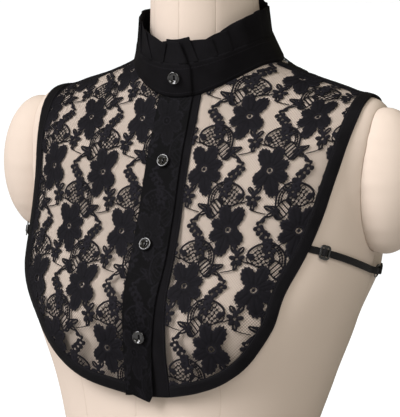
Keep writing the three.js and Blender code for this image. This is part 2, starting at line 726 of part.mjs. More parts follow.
function addPanels() {
  addPiece('front_panel_right', lacePanel(right, 22, 12), colours.lace, 0.8);
  addPiece('front_panel_left', lacePanel(left, 22, 12), colours.lace, 0.8);
  addPiece('back_panel', lacePanel(back, 36, 12), colours.lace, 0.8);
  addPiece('binding_front_right', binding(right, 22), colours.solidCloth, 0.75);
  addPiece('binding_front_left', binding(left, 22), colours.solidCloth, 0.75);
  addPiece('binding_back', binding(back, 36), colours.solidCloth, 0.75);
  addPiece('shoulder_seam_left', shoulderSeam(1, 8), colours.solidCloth, 0.75);
  addPiece('shoulder_seam_right', shoulderSeam(-1, 8), colours.solidCloth, 0.75);
}

function addFrontStrips() {
  const under = frontStrip(UNDER_PLACKET.left, UNDER_PLACKET.right, 24, LAYERS.underPlacket, FLAT_HEM);
  const over = frontStrip(PLACKET.left, PLACKET.right, 24, LAYERS.placket, PLACKET_HEM);
  addPiece('under_placket', under, colours.solidCloth, 0.75);
  addPiece('placket', over, colours.lace, 0.8);
}

function addCollar() {
  addPiece('collar_band', collarBand(44), colours.solidCloth, 0.75);
  addPiece('collar_ruffle', collarRuffle(), colours.solidCloth, 0.75);
}

function addButtons() {
  addPiece('button_1', bandButton(), colours.plastic, 0.2);
  PLACKET_BUTTONS.forEach((place, k) => {
    addPiece(`button_${k + 2}`, placketButton(place), colours.plastic, 0.2);
  });
}

// The place just outside a patch's outline at a given height, between its hem and its tip.
function strapStart(patch, height, gap, hem, tip) {
  let low = hem;
  let high = tip;
  for (let k = 0; k < 30; k += 1) {
    const middle = (low + high) / 2;
    const { turn, level } = patch.outline(middle);
    if (figurePoint(turn, level).z < height) low = middle;
    else high = middle;
  }
  return insetPlace(patch, low, -gap);
}

function addStraps(side, word, frontPanel, backPanel) {
  const ringPlace = { turn: side * RING_PLACE.turn, level: RING_PLACE.level };
  const backStart = strapStart(backPanel, STRAP_HEIGHTS.back, STRAP_START_GAPS.back, 0.5, side > 0 ? 0 : 1);
  if (side < 0) backStart.turn -= 2 * Math.PI;
  const frontStart = strapStart(frontPanel, STRAP_HEIGHTS.front, STRAP_START_GAPS.front, 0.1, 1);
  const front = strapRoute(frontStart, ringPlace);
  const back = strapRoute(backStart, ringPlace);
  const sliderEnd = SLIDER.place + SLIDER.length / 2 + SEAM_GAP;
  const frontTurn = front.length - RING.radius + RING.strapInset;
  const backTurn = back.length - RING.radius + RING.strapInset;
  addPiece(`strap_front_${word}`, strap(front, frontTurn, sliderEnd), colours.elastic, 0.7);
  addPiece(`strap_back_${word}`, strap(back, backTurn, backTurn - BACK_LOOP_RETURN), colours.elastic, 0.7);
  addPiece(`slider_${word}`, slider(front), colours.plastic, 0.25);
  addPiece(`ring_${word}`, ring(front), colours.plastic, 0.25);
}

addForm();
addPanels();
addFrontStrips();
addCollar();
addButtons();
addStraps(1, 'left', left, back);
addStraps(-1, 'right', right, back);

export default group;
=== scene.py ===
"""A black lace bib collar on a beige dress form: the looks round the fixed frame.

Sizes are in millimetres until the meshes are made, and Blender's metres after that.
+Z is up, the wearer faces -Y and their left is +X.
"""

import functools
import math
from math import radians

import bpy
import numpy as np
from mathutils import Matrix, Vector


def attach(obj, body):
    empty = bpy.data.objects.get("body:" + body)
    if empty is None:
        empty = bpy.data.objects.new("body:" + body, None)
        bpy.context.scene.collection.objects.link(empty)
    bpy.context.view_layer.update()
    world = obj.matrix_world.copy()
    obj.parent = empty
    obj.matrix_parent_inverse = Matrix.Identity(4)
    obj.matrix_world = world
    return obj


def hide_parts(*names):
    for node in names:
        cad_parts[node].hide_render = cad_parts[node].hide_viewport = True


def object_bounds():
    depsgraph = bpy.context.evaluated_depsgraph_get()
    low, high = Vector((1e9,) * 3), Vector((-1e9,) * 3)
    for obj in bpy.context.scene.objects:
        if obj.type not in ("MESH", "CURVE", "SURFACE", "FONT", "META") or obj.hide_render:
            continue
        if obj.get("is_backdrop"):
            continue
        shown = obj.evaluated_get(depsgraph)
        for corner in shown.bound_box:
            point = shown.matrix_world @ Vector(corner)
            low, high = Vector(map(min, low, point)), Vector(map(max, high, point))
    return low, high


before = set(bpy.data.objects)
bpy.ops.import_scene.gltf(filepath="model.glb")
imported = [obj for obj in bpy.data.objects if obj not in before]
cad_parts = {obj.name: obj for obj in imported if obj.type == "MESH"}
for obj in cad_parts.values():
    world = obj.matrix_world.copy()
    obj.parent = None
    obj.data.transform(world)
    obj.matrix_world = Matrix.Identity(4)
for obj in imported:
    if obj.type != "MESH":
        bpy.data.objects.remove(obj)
cad_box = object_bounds()

MM = 0.001
SIDE_WORDS = {1: "left", -1: "right"}
TINY = 1e-3  # a small step in turn, level or share

# ---------- the figure, as the frame's dress form ----------
# The columns are side, side_y, side_z, front_y, front_z, back_y, back_z and power.
# There is a row for each level ring, from the base to the neck.
FIGURE = np.array([
    (140, -16, 0, -122, 0, 76, 0, 2.2),
    (133, -18, 45, -118, 45, 70, 45, 2.2),
    (113, -18, 97, -104, 97, 56, 97, 2.2),
    (117, -15, 150, -106, 150, 63, 150, 2.2),
    (134, -3, 206, -105, 206, 89, 206, 2.3),
    (150, 8, 255, -111, 255, 112, 255, 2.35),
    (158, 12, 290, -110, 286, 118, 290, 2.4),
    (163, 16, 335, -98, 318, 120, 325, 2.4),
    (166, 20, 395, -88, 346, 118, 360, 2.4),
    (163, 24, 446, -78, 378, 112, 395, 2.3),
    (135, 25, 460, -70, 400, 103, 425, 2.2),
    (100, 23, 471, -61, 420, 92, 455, 2.1),
    (70, 14, 483, -51, 441, 79, 490, 2.05),
    (54, 15, 496, -44, 460, 69, 510, 2.0),
    (49, 12, 516, -42, 486, 63, 528, 2.0),
    (47, 9, 545, -42, 545, 58, 545, 2.0),
])
TOP_LEVEL = len(FIGURE) - 1
RING_RISE = 1.8
BUST = {"x": 78, "z": 262, "half_width": 52, "half_height": 46, "out": 14}
CAP = {"centre": (172, 12, 385), "half": (37, 35, 63)}
CAP_FILLET = {"wide": 24, "narrow": 6, "low": 340, "high": 430}  # how far the torso swells towards a cap
HOLLOW = {"depth": 11, "base_share": 0.25, "low": 100, "high": 262, "top": 312, "turn": 116, "half_turn": 32}

# ---------- the garment ----------
NECKLINE = {"front": 12.72, "side": 12.0, "back": 12.2}
SHOULDER_TIP_LEVEL = 9.4
SHOULDER_SEAM_WIDTH = 9
BINDING_WIDTH = 11
PLACKET = {"left": (-17, -14), "right": (15, 20)}  # x of an edge at its top and at the hem
UNDER_PLACKET = {"left": (-11, -8), "right": (22, 27)}
SWAYS = [(-9.3, 302, 40), (2, 412, 30)]
FRONT_OUTLINE = [
    (52, 215), (76, 227), (97, 245), (115.5, 269), (127.5, 298),
    (135.5, 328), (140.5, 362), (145, 395), (150, 425), (153.5, 445),
]
BACK_OUTLINE = [
    (0, 238), (35, 240), (76, 253), (103, 276), (118, 305),
    (127, 340), (134, 380), (141, 417), (148, 440),
]
HEM_LOW = 206
HEM_ROUND = 225
HANG = {"out": 6, "top": 280, "bottom": 212}
BRIDGE = {"out": 6, "half_width": 34, "z": 300, "half_height": 50}
FLANK = {"out": 7, "padding": 5, "turn": radians(-62), "half_turn": radians(20), "z": 292, "half_height": 48}
BACK_EASE = 0.6
COLLAR_SEAM = np.array((58, 11, 506, -50, 485, 70, 521, 2.0))
COLLAR_TOP = np.array((53.5, 10, 529, -48, 505, 67, 543, 2.0))
OVERLAP_TURN = (radians(-75), radians(-22))


def mix(a, b, t):
    return a + (b - a) * t


def smooth(value, low, high):
    """A soft step, from 0 at low to 1 at high."""
    t = np.clip((value - low) / (high - low), 0, 1)
    return t * t * (3 - 2 * t)


def bell(value, middle, half):
    return np.exp(-(((value - middle) / half) ** 2))


def unit(v):
    return v / np.maximum(np.linalg.norm(v, axis=-1, keepdims=True), 1e-12)


def stacked(*parts):
    """Arrays stretched to one another and put together along a last axis."""
    return np.stack(np.broadcast_arrays(*parts), -1)


def shares(count):
    """A row of even steps from 0 to 1."""
    return np.linspace(0, 1, count)[None]


def circle(count):
    """Angles evenly round a circle."""
    return np.linspace(0, 2 * np.pi, count, endpoint=False)


def paired(turn, level):
    return np.broadcast_arrays(np.asarray(turn, float), np.asarray(level, float))


def walked(points):
    """How far along a line of points each of them lies."""
    steps = np.linalg.norm(np.diff(points, axis=0), axis=1)
    return np.concatenate(([0], np.cumsum(steps)))


def catmull(rows, place):
    """A smooth curve through the rows of a table, at a place counted in rows."""
    last = len(rows) - 1
    at = np.clip(np.asarray(place, float), 0, last)
    i = np.minimum(np.floor(at).astype(int), last - 1)
    t = (at - i)[..., None]
    a, b = rows[np.maximum(i - 1, 0)], rows[i]
    c, d = rows[i + 1], rows[np.minimum(i + 2, last)]
    cubic = 3 * b - a - 3 * c + d
    return 0.5 * (2 * b + (c - a) * t + (2 * a - 5 * b + 4 * c - d) * t**2 + cubic * t**3)


def between(grid, i, j):
    """A grid's values at places counted in its rows and columns."""
    a, b = i.astype(int), j.astype(int)
    spread = (...,) + (None,) * (grid.ndim - 2)
    p, q = (i - a)[spread], (j - b)[spread]
    near = mix(grid[a, b], grid[a, b + 1], q)
    far = mix(grid[a + 1, b], grid[a + 1, b + 1], q)
    return mix(near, far, p)


def ring_point(row, turn):
    side, side_y, side_z, front_y, front_z, back_y, back_z, power = np.moveaxis(np.asarray(row), -1, 0)
    s, c = np.sin(turn), np.cos(turn)
    x = side * np.sign(s) * np.abs(s) ** (2 / power)
    reach = np.abs(c) ** (2 / power)
    end_y = np.where(c > 0, front_y, back_y)
    end_z = np.where(c > 0, front_z, back_z)
    y = side_y + (end_y - side_y) * reach
    z = side_z + (end_z - side_z) * reach**RING_RISE
    breasts = bell(x, BUST["x"], BUST["half_width"]) + bell(x, -BUST["x"], BUST["half_width"])
    swell = np.where(c > 0, BUST["out"] * reach * breasts * bell(z, BUST["z"], BUST["half_height"]), 0)
    return stacked(x, y - swell, z)


def side_hollow(turn, z):
    """How far the figure is drawn in behind the side seams, below the arms."""
    depth = HOLLOW["depth"] * (1 - smooth(z, HOLLOW["high"] - 4, HOLLOW["top"]))
    depth = depth * mix(HOLLOW["base_share"], 1, smooth(z, HOLLOW["low"], HOLLOW["high"]))
    wrapped = (turn + np.pi) % (2 * np.pi) - np.pi
    return depth * bell(np.abs(wrapped), radians(HOLLOW["turn"]), radians(HOLLOW["half_turn"]))


def figure_point(turn, level):
    turn, level = paired(turn, level)
    p = ring_point(catmull(FIGURE, level), turn)
    hollow = side_hollow(turn, p[..., 2])
    inward = radians(HOLLOW["turn"])
    p[..., 0] -= np.sign(np.sin(turn)) * hollow * math.sin(inward)
    p[..., 1] += hollow * math.cos(inward)
    return p


def surface_normal(at, turn, level):
    turn, level = paired(turn, level)
    high, low = np.minimum(level + TINY, TOP_LEVEL), np.maximum(level - TINY, 0)
    along = at(turn + TINY, level) - at(turn - TINY, level)
    return unit(np.cross(along, at(turn, high) - at(turn, low)))


def figure_normal(turn, level):
    return surface_normal(figure_point, turn, level)


def cap_distance(p):
    """Signed distance from the nearer shoulder cap's surface, roughly, and positive outside it."""
    found = []
    for side in SIDE_WORDS:
        middle = np.array(CAP["centre"]) * (side, 1, 1)
        half = np.array(CAP["half"])
        share = np.linalg.norm((p - middle) / half, axis=-1)
        slope = np.linalg.norm((p - middle) / half**2, axis=-1) / np.maximum(share, 1e-6)
        found.append((share - 1) / np.maximum(slope, 1e-6))
    return np.minimum(*found)


def cap_fillet(p):
    """How far the torso swells out to meet the nearer shoulder cap."""
    rise = smooth(p[..., 2], CAP_FILLET["low"], CAP_FILLET["high"])
    reach = mix(CAP_FILLET["narrow"], CAP_FILLET["wide"], rise)
    return reach / 4 * np.clip(1 - cap_distance(p) / reach, 0, 1) ** 2


def flank_share(turn, z):
    return bell(turn, FLANK["turn"], FLANK["half_turn"]) * bell(z, FLANK["z"], FLANK["half_height"])


def stand_off(turn, p):
    """How far the cloth stands off the figure."""
    front = np.cos(turn)
    x, z = p[..., 0], p[..., 2]
    hang = HANG["out"] * (1 - smooth(z, HANG["bottom"], HANG["top"])) * np.sqrt(np.maximum(front, 0))
    bridge = BRIDGE["out"] * bell(x, 0, BRIDGE["half_width"]) * bell(z, BRIDGE["z"], BRIDGE["half_height"])
    flank = FLANK["out"] * flank_share(turn, z)
    return np.where(front > 0, hang + bridge + flank, BACK_EASE * smooth(-front, 0, 0.3))


def cloth_point(turn, level, lift=0.0):
    turn, level = paired(turn, level)
    p = figure_point(turn, level)
    return p + figure_normal(turn, level) * (lift + stand_off(turn, p) + cap_fillet(p))[..., None]


def cloth_normal(turn, level):
    return surface_normal(cloth_point, turn, level)


def worn(places):
    """The worn cloth's points at places, which are pairs of turn and level."""
    return cloth_point(places[..., 0], places[..., 1])


def turn_at(x, level, back):
    """The turn at which a level ring, in front or at the back, has the given x."""
    row = catmull(FIGURE, level)
    share = np.minimum(np.abs(x) / row[..., 0], 1) ** (row[..., 7] / 2)
    turn = np.arcsin(share)
    return np.where(np.asarray(x) < 0, -1, 1) * (np.pi - turn if back else turn)


def locate(x, z, back):
    """The places whose points have the given x and height."""
    x, z = paired(x, z)
    low, high = np.full(x.shape, 3.0), np.full(x.shape, NECKLINE["front"])
    for _ in range(40):
        middle = (low + high) / 2
        below = figure_point(turn_at(x, middle, back), middle)[..., 2] < z
        low, high = np.where(below, middle, low), np.where(below, high, middle)
    return stacked(turn_at(x, low, back), low)


def neck_level(turn):
    """The level of the neckline's seam."""
    c = np.cos(turn)
    end = np.where(c > 0, NECKLINE["front"], NECKLINE["back"])
    return NECKLINE["side"] + (end - NECKLINE["side"]) * np.abs(c)


def beside_ridge(level, distance):
    """The turn at a distance from the shoulder's ridge, in front of it if positive."""
    row = catmull(FIGURE, level)
    end = row[..., 3] if distance > 0 else row[..., 5]
    offset = np.arccos(np.abs(distance / (end - row[..., 1])) ** (row[..., 7] / 2))
    return offset if distance > 0 else np.pi - offset


def neck_place(x):
    """The place where the line at x meets the neckline in front."""
    level = np.full(np.shape(x), NECKLINE["front"])
    for _ in range(8):
        level = neck_level(turn_at(x, level, False))
    return stacked(turn_at(x, level, False), level)


def hem_height(x):
    return HEM_LOW + x * x / (2 * HEM_ROUND)


def sway_at(z):
    """How far the bibs hang to the wearer's left at a height."""
    return sum(x * bell(z, middle, half) for x, middle, half in SWAYS)


# ---------- patches: an outline of places, and the edges that it starts and ends at ----------
RIDGE_GAP = SHOULDER_SEAM_WIDTH / 2 + 0.3  # from the shoulder's ridge to a panel
INSET_STEPS = 4
END_REACH = 0.045  # share of an outline over which its square direction turns into the end edge's


def seam_edge(side, distance):
    def at(level):
        turn = beside_ridge(level, distance)
        if distance > 0:
            turn = side * turn
        elif side < 0:
            turn = 2 * np.pi - turn
        return stacked(turn, level)
    return at


def front_patch(side, edge):
    """The front bib of one side, from the hem up to the shoulder."""
    top_x, hem_x = edge
    xs, zs = np.array(FRONT_OUTLINE).T
    end_at = seam_edge(side, RIDGE_GAP)
    places = np.concatenate((
        locate(np.array([hem_x]), np.array([hem_height(hem_x)]), False),
        locate(side * xs + sway_at(zs), zs, False),
        end_at(np.array([SHOULDER_TIP_LEVEL])),
    ))
    top = neck_place(np.array(top_x))

    def start_at(level):
        share = (level - top[1]) / (places[0, 1] - top[1])
        return stacked(turn_at(mix(top_x, hem_x, share), level, False), level)

    neck = top, end_at(np.array(NECKLINE["side"]))
    return {"places": places, "start_at": start_at, "end_at": end_at, "neck": neck}


def back_patch():
    """The back bib, from the wearer's left shoulder down, round and up to the right one."""
    start_at, end_at = seam_edge(1, -RIDGE_GAP), seam_edge(-1, -RIDGE_GAP)
    xs, zs = np.array(BACK_OUTLINE).T
    half = np.concatenate((
        locate(np.maximum(xs, 1e-6), zs, True),
        start_at(np.array([SHOULDER_TIP_LEVEL])),
    ))
    mirrored = half[1:] * (-1, 1) + (2 * np.pi, 0)
    places = np.concatenate((half[::-1], mirrored))
    neck = start_at(np.array(NECKLINE["side"])), end_at(np.array(NECKLINE["side"]))
    return {"places": places, "start_at": start_at, "end_at": end_at, "neck": neck}


def outline_place(patch, u):
    """The place at a share of the way along the outline."""
    return catmull(patch["places"], u * (len(patch["places"]) - 1))


def walked_edge(edge_at, level, distance):
    """The places on an edge at each of the distances up from a level."""
    levels = level + np.arange(0, 3, 0.01)
    gone = walked(worn(edge_at(levels)))
    return edge_at(np.interp(distance, gone, levels))


def place_change(place, move):
    """How turn and level change along a short move over the cloth."""
    here = worn(place)
    by_turn = (worn(place + (TINY, 0)) - here) / TINY
    by_level = (worn(place + (0, TINY)) - here) / TINY
    tt, ll = np.sum(by_turn * by_turn, -1), np.sum(by_level * by_level, -1)
    tl = np.sum(by_turn * by_level, -1)
    t, l = np.sum(move * by_turn, -1), np.sum(move * by_level, -1)
    return stacked(t * ll - l * tl, l * tt - t * tl) / (tt * ll - tl * tl)[:, None]


def inset_places(patch, u, distances):
    """Places square inside the outline, and outside it for a negative distance.

    There is one row for each distance and one column for each u.
    """
    inner = np.clip(u, TINY, 1 - TINY)
    start = outline_place(patch, inner)
    tangent = unit(worn(outline_place(patch, inner + TINY)) - worn(outline_place(patch, inner - TINY)))
    square = np.cross(cloth_normal(start[:, 0], start[:, 1]), tangent)
    middle = np.array((np.mean(patch["places"][:, 0]), NECKLINE["side"]))
    inside = worn(middle) - worn(start)
    sign = np.sign(np.sum(square[len(u) // 2] * inside[len(u) // 2]))
    ends = []
    for edge, k in (("start_at", 0), ("end_at", -1)):
        corner = patch["places"][k]
        ends.append(walked_edge(patch[edge], corner[1], np.maximum(distances, 0)) - corner)
    first = smooth(u, END_REACH, 0)[:, None]
    last = smooth(u, 1 - END_REACH, 1)[:, None]
    rows = []
    for k, distance in enumerate(distances):
        place = start.copy()
        for _ in range(INSET_STEPS):
            place += place_change(place, square * sign * distance / INSET_STEPS)
        offset = mix(place - start, ends[0][k], first)
        offset = mix(offset, ends[1][k], last)
        rows.append(outline_place(patch, u) + offset)
    return np.array(rows)


# ---------- flat cloth on the figure ----------
CHART_STEP = 1.5
CHART_LOW_LEVEL = 2.6
ACROSS_HEIGHT = 400.0  # the height along which the flat cloth is measured across
UP_HEIGHT = 330  # the height from which it is measured up


class Chart:
    """Flat cloth coordinates, across and up, in millimetres, and where they lie on the worn cloth."""

    def __init__(self, back, half_width, low, high):
        self.back = back
        xs = np.linspace(-half_width, half_width, 2 * int(half_width) + 1)
        gone = walked(worn(locate(xs, np.full(xs.shape, ACROSS_HEIGHT), back)))
        self.xs, self.across = xs, gone - np.interp(0, xs, gone)
        self.s = np.arange(self.across[0], self.across[-1], CHART_STEP)
        self.t = np.arange(low, high, CHART_STEP)
        line_xs = np.interp(self.s, self.across, xs)
        columns = [self.column(x) for x in line_xs]
        level = np.array([np.interp(self.t, up, levels) for levels, up in columns])
        turn = turn_at(np.broadcast_to(line_xs[:, None], level.shape), level, back)
        self.points = cloth_point(turn, level)
        self.normals = cloth_normal(turn, level)

    def top_level(self, x):
        """The highest level that is as wide as x."""
        levels = np.linspace(8.4, 13.2, 200)
        sides = catmull(FIGURE, levels)[:, 0]
        return np.interp(-abs(x), -sides, levels) if abs(x) > sides[-1] else levels[-1]

    def column(self, x):
        """Levels up the line at x, and how far up the cloth each is."""
        levels = np.linspace(CHART_LOW_LEVEL, self.top_level(x) - 1e-4, 240)
        turn = turn_at(np.full(levels.shape, x), levels, self.back)
        up = walked(cloth_point(turn, levels))
        return levels, up - np.interp(UP_HEIGHT, figure_point(turn, levels)[:, 2], up)

    def flat(self, places):
        """The flat coordinates of places on the figure."""
        out = []
        for turn, level in places:
            x = float(figure_point(turn, level)[0])
            levels, up = self.column(x)
            out.append((np.interp(x, self.xs, self.across), np.interp(level, levels, up)))
        return np.array(out)

    def at(self, s, t, lift):
        """The worn points of flat coordinates, lifted off the cloth."""
        i = np.clip((s - self.s[0]) / CHART_STEP, 0, len(self.s) - 1.001)
        j = np.clip((t - self.t[0]) / CHART_STEP, 0, len(self.t) - 1.001)
        normal = unit(between(self.normals, i, j))
        return between(self.points, i, j) + normal * np.asarray(lift)[..., None]


def segment_distance(x, y, start, end):
    dx, dy = end[0] - start[0], end[1] - start[1]
    along = np.clip(((x - start[0]) * dx + (y - start[1]) * dy) / max(dx * dx + dy * dy, 1e-9), 0, 1)
    return np.hypot(x - start[0] - along * dx, y - start[1] - along * dy)


def outline_distance(polygon, s, t):
    """Distance to a closed polygon's edge, positive inside."""
    best = np.full(s.shape, 1e9)
    inside = np.zeros(s.shape, bool)
    for start, end in zip(polygon, np.roll(polygon, -1, 0)):
        best = np.minimum(best, segment_distance(s, t, start, end))
        height = end[1] - start[1]
        height = height if abs(height) > 1e-9 else 1e-9
        crosses = (start[1] > t) != (end[1] > t)
        inside ^= crosses & (s < start[0] + (t - start[1]) * (end[0] - start[0]) / height)
    return np.where(inside, best, -best)


def panel_polygon(chart, patch, inset, tuck):
    """A lace panel's flat outline, inset into its binding and tucked a little under its neighbours."""
    rim = inset_places(patch, np.linspace(0, 1, 160), [inset])[0]
    start_neck, end_neck = patch["neck"]
    up_end = patch["end_at"](np.linspace(rim[-1, 1], end_neck[1], 30))[1:]
    turns = np.linspace(end_neck[0], start_neck[0], 60)[1:]
    across = stacked(turns, neck_level(turns))
    down_start = patch["start_at"](np.linspace(start_neck[1], rim[0, 1], 60))[1:-1]
    corners = chart.flat(np.concatenate((rim, up_end, across, down_start)))
    middle = corners.mean(0)
    return corners + unit(corners - middle) * tuck


# ---------- the lace's pattern, in millimetres ----------
# One flower with its shell, vine, blossom and tendril fills a cell. Every other row of cells is mirrored and
# shifted by half a cell. A pattern value is how deep a point lies inside the solid lace.
CELL_WIDTH = 57.5
CELL_HEIGHT = 51.0
TILE = {"low": (-34.0, -29.0), "high": (42.0, 46.0), "step": 0.25}
PETALS = [  # direction in degrees, reach and half width
    (117, 21.6, 6.1),
    (74, 21.6, 6.1),
    (25, 16.4, 5.2),
    (-27, 17.2, 5.6),
    (-77, 23.2, 6.2),
    (-134, 16.4, 6.9),
]
PETAL = {"middle": 0.56, "half_length": 0.46}  # shares of its reach
PETAL_TEETH = {"count": 13, "height": 0.5}
FLOWER_HEART = 8.2
FLOWER_RING = {"radius": 2.0, "half_width": 0.62}
FOLD = {"half_width": 0.9, "vein": 0.7, "clear": 2.6}
SCROLL = [(-6.0, 28.0), (-9.0, 30.2), (-8.4, 33.8), (-3.0, 38.4), (5.5, 41.4)]
SHELL_SIDE = [(5.5, 41.8), (12, 39.6), (16.6, 35.6), (19.6, 31), (20.4, 25), (19.6, 17), (14.8, 9.6)]
SHELL_FOOT = [(-9.0, 30.0), (-9.6, 25.5), (-5, 22.2), (0, 20.6), (3.5, 21.5)]
NET_PATCH = {
    "centre": (2.6, 29.2), "half": (10.4, 9.2), "angle": 35,
    "pitch": 3.1, "dot": 0.95, "strand": 0.33,
}
SHELL_RIBS = [
    [(10.2, 37.2), (13.6, 33.8), (15.6, 29.4), (16.2, 24.6)],
    [(13.4, 36.4), (16.4, 32.6), (17.9, 28.0), (18.2, 23.4)],
]
LADDER = {
    "centre": (14.4, 17.8), "half": (9.8, 5.6), "angle": -62,
    "rungs": 48, "pitch": 3.3, "rung": 0.55, "rim": 0.5,
}
VINE = [
    (27.5, 11.6), (31, 7.6), (32.4, 3.2), (32.0, 0.2), (27.8, -3.2), (24.2, -6.4), (23.0, -10.6), (23.9, -15),
    (25.5, -17.5),
]
VINE_BEADS = [
    (29.2, 8.6, 1.7), (33.0, 6.2, 1.6), (30.0, 3.2, 1.7), (34.6, 1.4, 1.8), (31.8, -2.4, 1.9),
    (28.6, 0.2, 1.8), (26.0, -1.2, 1.6), (28.6, -5.8, 1.9), (23.6, -3.6, 1.7), (26.0, -8.4, 1.7),
    (21.2, -8.0, 1.6), (25.2, -12.0, 1.9), (21.4, -12.6, 1.6), (24.8, -16.4, 2.3),
]
VINE_EYES = [
    (31.8, 1.2, 1.15), (31.4, 5.4, 0.95), (29.0, -2.4, 1.1),
    (25.4, -5.4, 1.15), (23.5, -9.4, 1.1), (23.4, -13.9, 1.0),
]
LEAVES = [  # centre, half length, half width and direction
    ((25.4, 18.6), 4.9, 2.0, 27),
    ((23.6, 13.6), 4.0, 1.8, -27),
    ((-21.6, 34.4), 4.0, 2.1, 122),
    ((-15.4, 33.8), 3.8, 2.1, 52),
    ((-18.2, 19.6), 3.4, 1.8, 84),
]
BLOSSOM = {"centre": (-17.9, 26.3), "petals": 5, "reach": 4.1, "petal": 2.2, "eye": 1.2}
SHELL_BLOSSOM = {"centre": (7.4, 32.6), "petals": 5, "reach": 3.4, "petal": 2.0, "eye": 1.0}
TENDRILS = [
    ([(-29.6, 14.0), (-23, 15.4), (-15.8, 18.0)], 0.42),
    ([(-14.2, 25.4), (-10.2, 23.4), (-6.6, 23.2)], 0.5),
    ([(10.6, -10), (15, -12.6), (20.5, -12.2)], 0.45),
    ([(-19.5, 30), (-21.6, 37.6), (-18.4, 36.4)], 0.6),
    ([(16.5, 17), (22, 20.5), (28, 21)], 0.6),
]


def turned(x, y, centre, degrees):
    dx, dy = x - centre[0], y - centre[1]
    c, s = math.cos(radians(degrees)), math.sin(radians(degrees))
    return dx * c + dy * s, dy * c - dx * s


def oval(x, y, centre, half_length, half_width, degrees):
    along, across = turned(x, y, centre, degrees)
    return (1 - np.hypot(along / half_length, across / half_width)) * min(half_length, half_width)


def stroke(x, y, points, half_width):
    spans = [segment_distance(x, y, start, end) for start, end in zip(points, points[1:])]
    return half_width - np.min(spans, 0)


def spline(points, per_span=6):
    rows = np.array(points, float)
    spans = len(rows) - 1
    return [tuple(p) for p in catmull(rows, np.linspace(0, spans, per_span * spans + 1))]


def split_leaf(x, y, centre, half_length, half_width, degrees):
    """A leaf with an open slit along its middle."""
    along, across = turned(x, y, centre, degrees)
    slit = np.minimum(0.42 - np.abs(across), 0.5 * half_length - np.abs(along - 0.15 * half_length))
    return np.minimum(oval(x, y, centre, half_length, 1.1 * half_width, degrees), -slit)


def disc(x, y, centre, radius):
    return radius - np.hypot(x - centre[0], y - centre[1])


def petal_shapes(x, y):
    """Each petal's depth and how far across the petal a point lies."""
    shapes = []
    for degrees, reach, half_width in PETALS:
        middle, half_length = reach * PETAL["middle"], reach * PETAL["half_length"]
        centre = (middle * math.cos(radians(degrees)), middle * math.sin(radians(degrees)))
        along, across = turned(x, y, centre, degrees)
        round_it = np.arctan2(across / half_width, along / half_length)
        teeth = PETAL_TEETH["height"] * np.cos(PETAL_TEETH["count"] * round_it)
        shapes.append((oval(x, y, centre, half_length, half_width, degrees) + teeth - 0.1, across))
    return shapes


def petal_folds(x, y):
    """Strength, from 0 to 1, of the folds between petals and of the vein along each."""
    shapes = petal_shapes(x, y)
    depths = np.sort([depth for depth, _ in shapes], 0)
    folds = bell(depths[-1] - depths[-2], 0, FOLD["half_width"]) * smooth(depths[-1], -1, 0.6)
    for depth, across in shapes:
        vein = FOLD["vein"] * bell(across, 0, 0.75 * FOLD["half_width"])
        folds = np.maximum(folds, vein * smooth(depth, 0.6, 2.2))
    return folds * smooth(np.hypot(x, y), FOLD["clear"], FOLD["clear"] + 2)


def flower(x, y):
    parts = [disc(x, y, (0, 0), FLOWER_HEART)] + [depth for depth, _ in petal_shapes(x, y)]
    ring = FLOWER_RING["half_width"] - np.abs(np.hypot(x, y) - FLOWER_RING["radius"])
    return np.minimum(np.max(parts, 0), -ring)


def small_blossom(x, y, centre, petals, reach, petal, eye):
    parts = [disc(x, y, centre, eye + 1.1)]
    for k in range(petals):
        angle = 2 * math.pi * (k + 0.3) / petals
        place = (centre[0] + reach * math.cos(angle), centre[1] + reach * math.sin(angle))
        parts.append(oval(x, y, place, 1.3 * petal, 0.85 * petal, math.degrees(angle)))
    return np.minimum(np.max(parts, 0), -disc(x, y, centre, eye))


def folded(value, pitch):
    """A value's distance from the nearest multiple of the pitch, with its sign."""
    return (value + pitch / 2) % pitch - pitch / 2


def dotted_net(x, y):
    a, b = turned(x, y, NET_PATCH["centre"], NET_PATCH["angle"])
    a, b = a + 0.35 * np.sin(0.9 * b + 0.7), b + 0.35 * np.sin(1.1 * a)
    a, b = folded(a, NET_PATCH["pitch"]), folded(b, NET_PATCH["pitch"])
    strands = NET_PATCH["strand"] - np.minimum(np.abs(a), np.abs(b))
    net = np.maximum(NET_PATCH["dot"] - np.hypot(a, b), strands)
    return np.minimum(net, oval(x, y, NET_PATCH["centre"], *NET_PATCH["half"], NET_PATCH["angle"]))


def ladder_leaf(x, y):
    almond = oval(x, y, LADDER["centre"], *LADDER["half"], LADDER["angle"])
    _, across = turned(x, y, LADDER["centre"], LADDER["rungs"])
    rungs = LADDER["rung"] - np.abs(folded(across, LADDER["pitch"]))
    rim = LADDER["rim"] - np.abs(almond - LADDER["rim"])
    return np.maximum(rim, np.minimum(rungs, almond))


def shell(x, y):
    parts = [
        stroke(x, y, spline(SCROLL), 0.85),
        disc(x, y, SCROLL[0], 2.5),
        stroke(x, y, SCROLL[:2], 1.7),
        stroke(x, y, spline(SHELL_SIDE), 0.75),
        stroke(x, y, spline(SHELL_FOOT), 0.5),
        dotted_net(x, y),
        ladder_leaf(x, y),
    ]
    for rib in SHELL_RIBS:
        line = spline(rib, 4)
        parts.append(stroke(x, y, line, 0.36))
        parts += [disc(x, y, dot, 0.85) for dot in line[::2]]
    return np.max(parts, 0)


def vine(x, y):
    parts = [stroke(x, y, spline(VINE), 1.15)]
    parts += [disc(x, y, bead[:2], 1.12 * bead[2]) for bead in VINE_BEADS]
    depth = np.max(parts, 0)
    for eye in VINE_EYES:
        depth = np.minimum(depth, -disc(x, y, eye[:2], eye[2]))
    return depth


